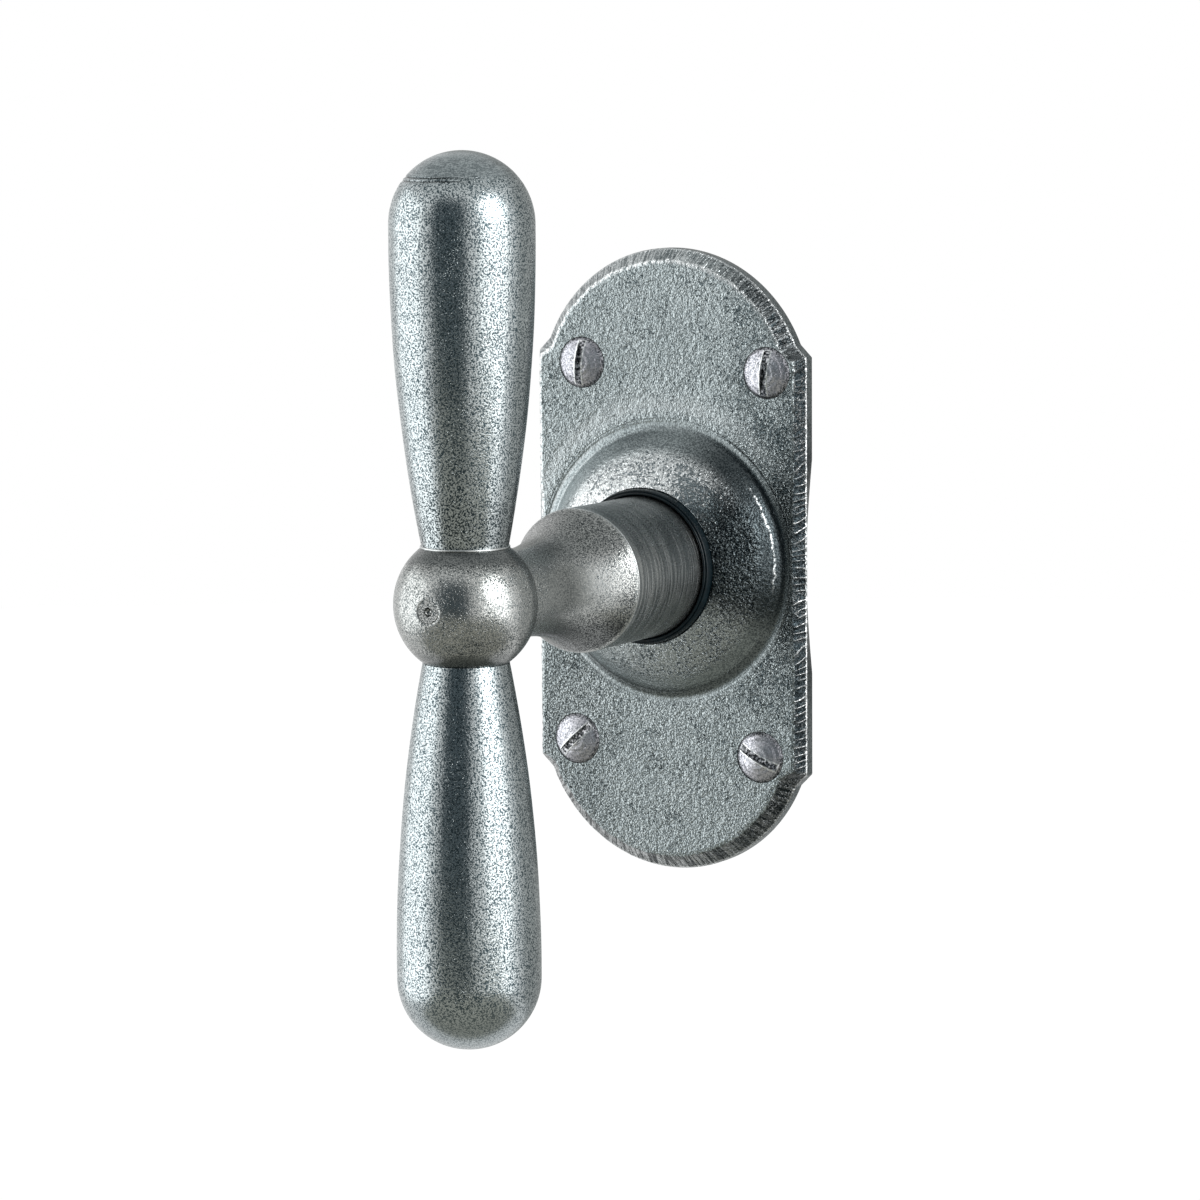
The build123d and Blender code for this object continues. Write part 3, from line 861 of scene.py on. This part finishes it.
def edge_distance(angle, inset=0.0):
    """How far the edge, drawn in by inset, lies from the plate's middle at an angle."""
    c, s = max(abs(cos(angle)), 1e-9), max(abs(sin(angle)), 1e-9)
    box = min((half_width - inset) / c, (half_width + side_top - inset * sqrt(2)) / (c + s), notch_z / s)
    inside = (crown_radius - inset) ** 2 - (crown_middle * c) ** 2
    crown = crown_middle * s + sqrt(inside) if inside > 0 else 0
    return max(box, crown)


def edge_height(angle):
    """How high above the plate's middle the edge is at an angle."""
    return edge_distance(angle) * sin(angle)


def run_of(x, z):
    """Millimetres along the edge to a place, from the middle of the right side, down is minus."""
    along = abs(z) if abs(z) < 29.9 else crown_foot + crown_radius * atan2(abs(z) - crown_middle, abs(x))
    return copysign(along if x > 0 else 2 * half_run - along, z)


def edge_run(angle):
    """The same for the place on the edge at an angle."""
    return run_of(edge_distance(angle) * cos(angle), edge_height(angle))


def on_side(angle):
    """1 along the straight sides, 0 round the crowns."""
    return ramp(30.2, 28.6, abs(edge_height(angle)))


def bevel_inset(angle):
    """The bevel is wider round the crowns and beside the dome, and its inner edge was cut by eye."""
    z, run = abs(edge_height(angle)), edge_run(angle)
    side = 1.05 + 0.25 * ramp(15, 5, z)
    crown = 1.6 + 0.25 * ramp(0, -0.7, sin(angle))
    width = side + (crown - side) * ramp(29.0, 31.5, z)
    waver = drift(run / 2.6, 2.0, 0.3) * 0.1 + drift(run / 0.8, 5.0, 0.3) * 0.08
    return width * (1 + min(waver, 0.14))


def rim_places():
    """Angles that stand evenly along the edge."""
    angles, angle = [], -pi
    while angle < pi - 0.003:
        angles.append(angle)
        distance = edge_distance(angle)
        slope = (edge_distance(angle + 1e-4) - distance) / 1e-4
        angle += rim_step / hypot(distance, slope)
    return angles


rim_angles = rim_places()
print("vertices round the rim:", len(rim_angles))

# %% [markdown]
# Along the sides the chisel left hollows between sharp ridges, and round the crowns short strokes.
# The first function counts the blows, the second gives the depth of the cuts, and the third says
# how strongly the material draws each mark.

# %% Chisel cuts
blow_length = 1.12


def blows_at(run, across):
    """Chisel blows counted along the edge; the cuts slant and wander a little."""
    return (run + 1.0 * drift(run / 3.1, across * 0.5, 1.7) + 0.5 * across) / blow_length


def cut_height(run, across, side, upper):
    """Hollows between sharp ridges on the sides, lumps near the top, strokes round the crowns."""
    hollow = abs(2 * (blows_at(run, across) % 1.0) - 1) ** 2
    lumps = drift(run / 0.9, across * 2.2, 4.2)
    strokes = drift(run / 0.55, across * 0.9, 8.8)
    on_sides = 0.1 * hollow * (1 - 0.6 * upper) * (1.1 - 0.5 * across) + 0.1 * lumps * (0.25 + 0.75 * upper)
    return side * on_sides + (1 - side) * 0.06 * strokes


def mark_paints(angle, across, run, side, upper):
    """How strongly each kind of mark shows at a place of the bevel."""
    facing_right = ramp(0.1, 0.5, cos(angle))
    patchy = 0.45 + 0.55 * ramp(-0.3, 0.3, drift(run / 2.3, 0.4, 6.1))
    reach = 0.8 + 0.5 * drift(run / 1.3, 2.2, 0)
    short = ramp(reach + 0.25, reach - 0.15, across)
    return {
        "ridges": 0.82 * side * (1 - 0.8 * upper) * short * patchy * (0.35 + 0.65 * facing_right),
        "crinkles": (side * (0.25 + 0.65 * upper) + (1 - side) * 0.3 * facing_right) * patchy,
        "strokes": (1 - side) * (1.0 - 0.75 * ramp(-0.02, 0.35, cos(angle))),
        "edge": 0.4 + 0.6 * facing_right * side,
    }


print("blows along the right side:", round(blows_at(crown_foot, 0) - blows_at(-crown_foot, 0)))

# %% [markdown]
# The next functions paint the plate: black scale stayed on the right and in the hollows, the upper
# left is painted bright, partly as wear and partly as painted highlights, the face is painted darker
# towards the bottom as painted shade, and pits opened near the dome's hole. They work with the angle
# and the distance from the plate's middle, because the wear goes round the dome.


# %% Age of the plate, with a painted highlight on the dome
def bevel_scale(angle):
    """How much black scale the bevel kept: nearly all on the right, most at the bottom, little elsewhere."""
    right_side = ramp(0.0, 0.4, cos(angle))
    below = ramp(-0.1, -0.7, sin(angle))
    above = ramp(0.8, 1.0, sin(angle))
    return 0.05 + max(0.92 * right_side, 0.78 * below, 0.1 * above)


def dome_scale(angle, distance):
    """Scale on the dome: black to the right, grey over the top edge and the bottom."""
    turn = degrees(angle)
    upper_end = 36 + 34 * ramp(12.5, 15.8, distance)
    cover = 0.91 * ramp(upper_end + 30, upper_end - 18, turn) * ramp(-50, -16, turn)
    top_band = 0.34 * ramp(15.2, 17.0, distance) * ramp(0.45, 0.85, sin(angle))
    low_edge = 0.5 * ramp(17.2, 18.6, distance) * ramp(-0.1, -0.6, sin(angle))
    return max(cover, top_band, low_edge, 0.3 * ramp(0.2, 0.7, cos(angle)) * ramp(0.2, -0.3, sin(angle)))


def toward(angle, degrees_round):
    """1 where an angle points the same way as another, -1 where it points away."""
    return cos(angle - radians(degrees_round))


def dome_wear_and_highlight(angle, distance):
    """Bright metal at the upper left of the dome near the bush, and a little below it: partly wear, partly a painted
    highlight.
    """
    low = 0.2 * ramp(-0.2, -0.7, sin(angle)) * ramp(17.2, 15.5, distance)
    return max(0.85 * ramp(16.8, 14.6, distance) * ramp(0.1, 0.75, toward(angle, 112)), low)


def dome_pitted(angle, distance):
    """Deep pits over the top of the dome, most at half past one, and fewer at the bottom."""
    top = ramp(0.2, 0.7, toward(angle, 68)) * ramp(16.8, 15.4, distance)
    deep = 0.8 * ramp(0.9, 0.99, toward(angle, 50)) * ramp(15.5, 14.0, distance)
    low = 0.6 * ramp(-0.2, -0.7, sin(angle)) * ramp(17.5, 16.5, distance)
    return max(0.45 * top + deep, 0.5 * low)


print("scale on the bevel, right and left:", bevel_scale(0), bevel_scale(pi))


# %% Age of the dome's foot, the face and its rim, with painted light and shade
def right_glint(angle, distance):
    """A painted glint: a thin, broken bright line where the dome turns into its foot, on the right only."""
    run = angle * 18
    wander = 0.2 * drift(run / 0.7, 3.3, 0.5)
    broken = ramp(-0.35, 0.1, drift(run / 0.3, distance / 0.3, 0.5))
    reach = ramp(28, 17, abs(degrees(angle) - 15))
    return reach * broken * 0.85 * peak(17.85, 0.065, distance - wander)


def face_scale_and_shade(angle, distance):
    """Scale on the flat face, dark beside the dome on the right, and painted shade that darkens the face towards the
    bottom and the lower left.
    """
    x, z = distance * cos(angle), distance * sin(angle)
    beside = 0.72 * ramp(14.5, 19.0, x) * ramp(21, 6, abs(z - 1.5))
    corner = 0.22 * ramp(11, 18, x) * ramp(28, 16, abs(z))
    return max(beside, corner, 0.16 * ramp(4, -20, z) + 0.2 * ramp(-6, -14, x) * ramp(2, -10, z))


def face_pitted(angle, distance):
    """Pits on the flat face: deeper towards the right."""
    return 0.8 * ramp(4, 17, distance * cos(angle)) * ramp(-34, -10, distance * sin(angle))


def halo(angle, distance):
    """A painted highlight: a band painted bright and smooth on the face above the dome's foot, towards the upper
    left.
    """
    return peak(22.3, 1.3, distance) * ramp(0.1, 0.7, toward(angle, 112))


def rim_light(angle, run):
    """A painted highlight: the face's rim is painted bright in patches on the left and the top."""
    patches = ramp(-0.35, 0.1, drift(run / 0.6, 7.0, 0.0))
    return patches * ramp(0.75, 0.0, cos(angle)) * ramp(-0.9, -0.2, sin(angle))


print("scale on the face beside the dome:", round(face_scale_and_shade(0, 20.5), 2))

# %% [markdown]
# A ring is a function that tells, for an angle, how far out a vertex stands, how far forward, and
# what is painted on it. The further settings of a ring say where on the plate it lies.



# %% Rings of the wall and the bevel
def wall_ring(angle, share):
    """A ring of the side wall, from the waisted back edge at 0 to the front edge at 1."""
    z = abs(edge_height(angle))
    waist = 0.9 * (1 - min(z / 15, 1) ** 2) * (1 - share) if on_side(angle) > 0.5 else 0
    scale = 0.6 + 0.3 * ramp(24, 12, z) * ramp(0.2, 0.6, cos(angle))
    return edge_distance(angle) - waist, wall_y * share, {"scale": scale, "smooth": 0.8, "across": 0.0}


def bevel_ring(angle, across):
    """A ring of the bevel, from its outer edge at 0 to its inner edge at 1."""
    distance = edge_distance(angle, bevel_inset(angle) * across + 0.05 * (across == 0))
    run = run_of(distance * cos(angle), distance * sin(angle))
    side, upper = on_side(angle), ramp(8, 20, edge_height(angle))
    height = cut_height(run, across, side, upper)
    y = wall_y + (face_y + 0.14 - wall_y) * across - 0.66 * height
    if across < 0.05:
        y += 0.1 * drift(run / 1.3, 9.0, 0.0)
    # The bevel's upper left is painted a little bright, and its inner edge takes the rim's painted highlight.
    upper_left = 0.15 * ramp(0.2, -0.2, cos(angle)) * ramp(-0.2, 0.3, sin(angle))
    crest = rim_light(angle, run) if across > 0.95 else upper_left
    scale = bevel_scale(angle) * (1 - crest if across > 0.95 else 1)
    paints = {"scale": scale, "crest": crest, "smooth": 0.35, "across": across}
    return distance + 0.75 * height, y, {**paints, **mark_paints(angle, across, run, side, upper)}


bevel_reach = [round(bevel_ring(0, across)[0], 2) for across in (0.0, 1.0)]
print("the bevel's outer and inner edge on the right, in mm:", bevel_reach)


# %% Rings of the face
def uneven(angle, distance):
    """The hand-forged face's rise and fall, in millimetres."""
    spot = Vector((distance * cos(angle), distance * sin(angle), 0))
    return 0.05 * drift(*(spot / 6.5)) + 0.03 * drift(*(spot / 2.2 + Vector((5, 5, 5))))


def face_room(angle):
    """The way from the bevel's inner edge to the dome's foot."""
    return edge_distance(angle, bevel_inset(angle)) - foot_radius


def rim_ring(angle, gap, share, drop):
    """A ring of the face's rounded rim, just inside the bevel."""
    room, run = face_room(angle), edge_run(angle)
    distance = foot_radius + room - min(gap, share * room)
    wave = 1 + 0.7 * drift(run / 1.1, 7.7, gap)
    wave *= 0.3 + 0.7 * ramp(0.7, 0.0, cos(angle)) * ramp(-0.8, -0.1, sin(angle))
    crest = rim_light(angle, run) * ramp(0.75, 0.1, gap)
    paints = {"crest": crest, "scale": face_scale_and_shade(angle, distance) * (1 - crest), "smooth": 0.3}
    return distance, face_y + drop * wave + uneven(angle, distance), paints


def flat_room(angle):
    """The way across the flat face, from inside its rounded rim to the dome's foot."""
    room = face_room(angle)
    return room - min(face_gap, 0.6 * room)


def face_ring(angle, share):
    """A ring of the flat face, from just inside its rim at 0 to the groove at 1."""
    room = flat_room(angle)
    distance = foot_radius + room + (min(face_gap, 0.85 * room) - room) * share
    halo_light = halo(angle, distance)
    paints = {"scale": face_scale_and_shade(angle, distance), "pitted": face_pitted(angle, distance)}
    paints.update(crest=0.2 * halo_light, smooth=0.5 * halo_light)
    return distance, face_y + uneven(angle, distance), paints


def groove_ring(angle, gap, share, depth, scale):
    """A ring of the tool groove round the right of the dome's foot, where there is room for it."""
    room, turn = flat_room(angle), degrees(angle)
    distance = foot_radius + min(gap, share * room)
    cut = ramp(-40, -15, turn) * ramp(72, 50, turn) * min(room / 1.2, 1)
    paints = {"crest": 0.3 * halo(angle, distance) * (1 - cut), "smooth": 0.4}
    paints["scale"] = max(face_scale_and_shade(angle, distance), scale * cut)
    return distance, face_y + depth * cut + uneven(angle, distance) * gap / face_gap, paints


print("face between the bevel and the dome's foot, on the right:", round(face_room(0), 2), "mm")


# %% Rings of the dome and the hollow
def foot_ring(angle, turn):
    """A ring of the concave foot; turn runs from 90 degrees at the plate to 138.4 at the dome."""
    fillet = foot_fillet + 0.02 * sin(turn * 0.62)
    distance = foot_radius + fillet * cos(radians(turn))
    y = face_y - foot_fillet + fillet * sin(radians(turn))
    # Two thin painted highlight lines on the left of the foot. The foot is painted darker at the bottom, and painted
    # shade dims its reflections at the top and on the left.
    glint = 0.35 * ramp(-0.4, -0.8, cos(angle)) * (peak(96, 4, turn) + peak(126, 4, turn))
    low = 0.62 * ramp(-0.1, -0.6, sin(angle)) * ramp(100, 112, turn)
    top = 0.3 * ramp(0.3, 0.8, sin(angle)) * ramp(108, 122, turn)
    hollow = 0.3 * ramp(0.2, -0.5, cos(angle)) * peak(112, 9, turn)
    dome = dome_scale(angle, distance) * ramp(95, 110, turn)
    foot_scale_and_shade = max(dome, low, top, hollow, face_scale_and_shade(angle, distance) * 0.9)
    return distance, y, {"crest": glint, "scale": foot_scale_and_shade * (1 - glint), "smooth": 0.8}


def dome_ring(angle, slope):
    """A ring of the dome at a slope in degrees."""
    distance = dome_radius * sin(radians(slope))
    spot = Vector((distance * cos(angle), distance * sin(angle), 2.0))
    glint = right_glint(angle, distance)
    y = dome_middle - (dome_radius + 0.03 * drift(*(spot / 4.0)) + 0.05 * glint) * cos(radians(slope))
    paints = {"crest": max(dome_wear_and_highlight(angle, distance), glint), "scale": dome_scale(angle, distance) * (1 - glint)}
    paints["smooth"] = 0.75 * ramp(15.8, 16.8, distance + 0.5 * drift(*(spot / 2.0)))
    return distance, y, {**paints, "pitted": dome_pitted(angle, distance)}


def recess_distance(angle):
    """The recess behind: a slot 27.2 mm wide and 60.4 mm long, and a disc of 17.4 mm."""
    c, s = max(abs(cos(angle)), 1e-9), abs(sin(angle))
    side = 13.6 / c
    cap = 16.6 * s + sqrt(max(13.6**2 - (16.6 * c) ** 2, 0))
    return max(17.4, side if side * s < 16.6 else cap)


def hollow_ring(angle, distance, y):
    """A ring of the hidden back, round or, without a distance, along the recess."""
    return distance or recess_distance(angle), y, {"scale": 0.5, "smooth": 0.5}


print("recess behind, to the side and upward:", round(recess_distance(0), 2), round(recess_distance(pi / 2), 2))

# %% All rings in order
rings = [(wall_ring, 0.5), (wall_ring, 0.93)]
rings += [(bevel_ring, i / 8) for i in range(9)]
rings += [(rim_ring, 0.16, 0.2, 0.06), (rim_ring, 0.38, 0.42, 0.02)]
rings += [(face_ring, i / 12) for i in range(13)]
rings += [(groove_ring, 0.48, 0.7, 0.0, 0.2), (groove_ring, 0.36, 0.52, 0.1, 0.95)]
rings += [(groove_ring, 0.24, 0.35, 0.0, 0.3)]
rings += [(foot_ring, 90 + foot_turn * i / 7) for i in range(8)]
rings += [(dome_ring, foot_turn - 2.9 * i / 8) for i in range(1, 9)]
rings += [(dome_ring, 45.5 - (45.5 - 27.0) * i / 11) for i in range(1, 12)]
rings += [(hollow_ring, 10.95, -9.74), (hollow_ring, dome_hole, -9.6)]
rings += [(hollow_ring, r, dome_middle - sqrt(inner_radius**2 - r**2)) for r in (dome_hole, 13.0, 15.2, 17.4)]
rings += [(hollow_ring, None, -2.1), (hollow_ring, None, 0.0), (wall_ring, 0.0)]
print("rings:", len(rings))

# %% [markdown]
# With all rings written down, the plate is drawn: `extrude_edge_only` adds a ring of vertices, and
# each of them moves out, back and into its paint.


# %% Draw the plate
def place_vertex(v, layers, ring_at, *settings):
    angle = atan2(v.co.z, v.co.x)
    distance, y, paints = ring_at(angle, *settings)
    x, z = distance * cos(angle), distance * sin(angle)
    v.co = Vector((x, y, z)) / 1000
    run, across = run_of(x, z), paints.get("across", 1.0)
    known = {**paints, "run": run, "blows": blows_at(run, across), "across": bevel_slope * across}
    for name, layer in layers.items():
        v[layer] = known.get(name, 0.0)


def draw_ring(bm, edges, layers, *ring):
    """Extrudes the last ring's edges and moves the new vertices to their places."""
    made = bmesh.ops.extrude_edge_only(bm, edges=edges)["geom"]
    fresh = set(only("BMVert", made))
    for v in fresh:
        place_vertex(v, layers, *ring)
    return [edge for edge in only("BMEdge", made) if all(v in fresh for v in edge.verts)]


bm = bmesh.new()
paint_names = "crest scale smooth pitted run blows across ridges crinkles strokes edge".split()
for name in paint_names:
    bm.verts.layers.float.new(name)
layers = {name: bm.verts.layers.float[name] for name in paint_names}
first = [bm.verts.new((cos(angle), 0, sin(angle))) for angle in rim_angles]
for v in first:
    place_vertex(v, layers, wall_ring, 0.0)
edges = [bm.edges.new(pair) for pair in zip(first, first[1:] + first[:1])]
for ring in rings:
    edges = draw_ring(bm, edges, layers, *ring)
bmesh.ops.remove_doubles(bm, verts=bm.verts, dist=1e-6)
bmesh.ops.recalc_face_normals(bm, faces=bm.faces)
print("open edges:", sum(1 for e in bm.edges if not e.is_manifold))
plate = finish_piece(bm, "cover_plate_forged", plate_iron, "fixed", "plate_iron", "cover_plate", smooth_deg=40)

# %% [markdown]
# The four screw seats are cut through the finished plate with a Boolean. The cutter is a small
# turned shape in each corner: a cone a little wider than the head, and a hole for the shank. The
# result is kept as the plate's own mesh, so no modifier and no cutter stay behind. The flat back
# is shaded flat, because its long thin faces would show streaks, and the holes' edges there take
# the back's paint. The rings could leave the holes free, but then no two rings would have the same
# number of vertices.

# %% Screw seats
head_radius = 3.55
pattern_turn = radians(1.2)
pattern_x, pattern_z = 14.75, 26.95
shift_x, shift_z = 0.8, 0.45
hole_radius = 1.9


def screw_place(side, level_sign):
    """Where a corner screw stands; the drilled pattern is turned a little on the plate."""
    x, z = pattern_x * side, pattern_z * level_sign
    turned_x = x * cos(pattern_turn) + z * sin(pattern_turn)
    return shift_x + turned_x, shift_z + z * cos(pattern_turn) - x * sin(pattern_turn)


screw_places = [screw_place(*corner) for corner in ((-1, 1), (1, 1), (-1, -1), (1, -1))]
seat_radius = head_radius + 0.02
seat = [(0, -5.0), (head_radius + 0.1, -5.0), (head_radius + 0.1, face_y + 0.02), (seat_radius, face_y + 0.06)]
seat += [(seat_radius, face_y + 0.12), (hole_radius, -1.92), (hole_radius, 1.0), (0, 1.0)]
seats = join([turned(seat, "Y", steps=72, centre=(x, 0, z)) for x, z in screw_places])
cutter = new_object(seats, "seat_cutter", plate_iron)
cut = plate.modifiers.new("seats", "BOOLEAN")
cut.object = cutter
cut.operation = "DIFFERENCE"
cut.solver = "EXACT"
cut_mesh = bpy.data.meshes.new_from_object(plate.evaluated_get(bpy.context.evaluated_depsgraph_get()))
plate.modifiers.clear()
plate.data = cut_mesh
bpy.data.objects.remove(cutter)
cut_mesh.shade_smooth()
for face in cut_mesh.polygons:
    face.use_smooth = face.normal.y < 0.99
cut_mesh.set_sharp_from_angle(angle=radians(40))
at_back = [vertex.index for vertex in cut_mesh.vertices if vertex.co.y > -1e-5]
for name in ("scale", "smooth"):
    values = cut_mesh.attributes[name].data
    for index in at_back:
        values[index].value = max(values[index].value, 0.5)
print("plate with seats:", len(cut_mesh.polygons), "faces,", len(at_back), "vertices at the back")

# %% [markdown]
# ## Screws
#
# A corner screw is a slotted wood screw: a low dome, a cone under it, a plain neck and a thread.
# The machine screws behind are turned the same way. A thread is a helix, so after the spin every
# vertex of the threaded length moves in by a groove that climbs with the angle. The slot is a band
# cut free with planes and pressed down, which leaves sharp walls. A bump could draw both, but it
# would leave the outline smooth, and the screws' points stand free behind the plate.


# %% Thread helper
def cut_thread(bm, centre, start, end, pitch, depth):
    """Cuts a helical groove into the vertices between two heights."""
    for v in bm.verts:
        spot = v.co * 1000 - Vector(centre)
        across = Vector((spot.x, 0, spot.z))
        if not start <= spot.y <= end or across.length < 0.2:
            continue
        beat = (spot.y / pitch - atan2(spot.z, spot.x) / (2 * pi)) % 1.0
        groove = abs(2 * beat - 1)
        fade = min(1.0, (spot.y - start) / pitch, (end - spot.y) / pitch)
        v.co -= across.normalized() * depth * groove * fade / 1000


print("helper for threads:", cut_thread.__name__)


# %% Slot helper
def press_slot(bm, centre, tilt, half_wide, half_long, floor_y):
    """Presses a straight slot into a head that faces the front; its edges are painted bright, a painted highlight,
    and its floor is painted dark with light flecks.
    """
    middle = Vector((centre[0], 0, centre[2])) / 1000
    along = Vector((-sin(radians(tilt)), 0, cos(radians(tilt))))
    beside = Vector((along.z, 0, -along.x))
    front = face_y / 1000 - 1e-6

    def head():
        faces = [f for f in bm.faces if f.calc_center_median().y < front]
        verts = {v for f in faces for v in f.verts}
        return [*verts, *{e for f in faces for e in f.edges}, *faces]

    def in_slot(spot, more_wide=0.0, more_long=0.0):
        """Whether a place is in front of the plate, and in the slot or this much beside it."""
        from_middle = spot - middle
        wide = abs(from_middle.dot(beside)) < (half_wide + more_wide) / 1000
        return wide and abs(from_middle.dot(along)) < (half_long + more_long) / 1000 and spot.y < front

    cuts = [(beside, half_wide), (beside, -half_wide), (along, half_long), (along, -half_long)]
    cuts += [(beside, side * (half_wide + more)) for side in (1, -1) for more in (0.12, 0.24)]
    for way, reach in cuts:
        bmesh.ops.bisect_plane(bm, geom=head(), dist=1e-7, plane_co=middle + way * reach / 1000, plane_no=way)
    band = [f for f in bm.faces if in_slot(f.calc_center_median())]
    crest = bm.verts.layers.float["crest"]
    scale = bm.verts.layers.float["scale"]
    for v in bm.verts:
        if in_slot(v.co, 0.13, 0.05):
            v[crest], v[scale] = 1.0, 0.0
            v.co.y -= 0.00003
    made = bmesh.ops.extrude_face_region(bm, geom=band)["geom"]
    bmesh.ops.delete(bm, geom=band, context="FACES")
    for v in only("BMVert", made):
        v.co.y = floor_y / 1000 + 0.00012 * drift(*(v.co * 2600))
        flecks = ramp(0.0, 0.3, drift(*(v.co * 3000)))
        v[crest], v[scale] = 0.45 * flecks, 0.9 * (1 - flecks)
    bmesh.ops.recalc_face_normals(bm, faces=bm.faces)


# %% Corner screws
cap_rise = 1.1
shank_radius, screw_end = 1.75, 9.2
slot_tilts = (-5.8, -5.8, -48, 64)


def ringed_cap():
    """The head's low dome with two shallow rings left by the cutter."""
    cap_radius = (head_radius**2 + cap_rise**2) / (2 * cap_rise)
    spread = degrees(asin(head_radius / cap_radius))
    cap = arc((0, face_y - cap_rise + cap_radius), cap_radius, -90, -90 + spread, 34)
    return [(r, y + 0.022 * sin(r * 2 * pi / 0.85) * (r > 0.3)) for r, y in cap]


def corner_screw(x, z, tilt):
    head_foot, neck = (head_radius, face_y + 0.1), (1.6, -1.75)
    cone = [head_foot] + run_to(head_foot, neck, 6)
    shank = run_to(neck, (shank_radius, 0), 4) + run_to((shank_radius, 0), (shank_radius, 6), 60)
    shank += run_to((shank_radius, 6), (0.15, screw_end), 34)
    bm = turned(ringed_cap() + cone + shank + [(0, screw_end)], "Y", steps=48, centre=(x, 0, z))
    # The head is painted a little brighter at its crown, and darker towards its foot as painted shade where it meets
    # the plate; the rings are the cutter's marks.
    paint(bm, crest=lambda p: 0.15 * ramp(-4.1, -4.5, p.y))
    paint(bm, scale=lambda p: 0.55 * ramp(-4.05, -3.55, p.y) + 0.12 * cos(hypot(p.x - x, p.z - z) * 7.4))
    cut_thread(bm, (x, 0, z), 0.2, 9.1, 1.3, 0.5)
    press_slot(bm, (x, 0, z), tilt, 0.5, 3.15, face_y - 0.3)
    return bm


corner_screws = join([corner_screw(x, z, tilt) for (x, z), tilt in zip(screw_places, slot_tilts)])
finish_piece(corner_screws, "corner_screws_slotted", screw_iron, "fixed", "screw_iron", "corner_screws")


# %% Machine screws
def machine_screw(z):
    head = [(0, -1.95), (1.7, -1.95), (1.7, -0.6), (1.75, -0.55), (1.85, -1.95), (4.1, -1.95), (4.2, -1.85)]
    body = [(2.3, 0.1)] + run_to((2.3, 0.1), (2.3, 10.0), 4) + run_to((2.3, 10.0), (2.5, 10.2), 1)
    body += run_to((2.5, 10.2), (2.5, 27.4), 172) + run_to((2.5, 27.4), (1.9, 28.0), 4)
    bm = turned(head + body + [(0, 28.0)], "Y", steps=32, centre=(0, 0, z))
    cut_thread(bm, (0, 0, z), 10.1, 28.0, 0.8, 0.42)
    return bm


machine_screws = join([machine_screw(21.5), machine_screw(-21.5)])
finish_piece(machine_screws, "fixing_screws_threaded", zinc, "fixed", "zinc_steel", "fixing_screws")

# %% [markdown]
# ## Works behind the plate
#
# The other solids keep their measured shape. They get the zinc, spring steel or nylon that such a
# piece has, and the frame already moves them with the right body. Only their ends show, from
# behind, so new meshes for them would add nothing.

# %% Finishes for the solids that stay as they are
solids_of = {
    black_nylon: ("thrust_washer", "detent_housing"),
    spring_steel: ("disc_spring", "left_detent_spring", "right_detent_spring", "spindle_pin", "retaining_ring"),
    zinc: ("base_plate", "upper_support_lug", "lower_support_lug", "grip_stud", "spindle", "detent_cam"),
}
for material, names in solids_of.items():
    for name in names:
        nodes[name].data.materials.clear()
        nodes[name].data.materials.append(material)
    print(material.name, "on", len(names), "solids")
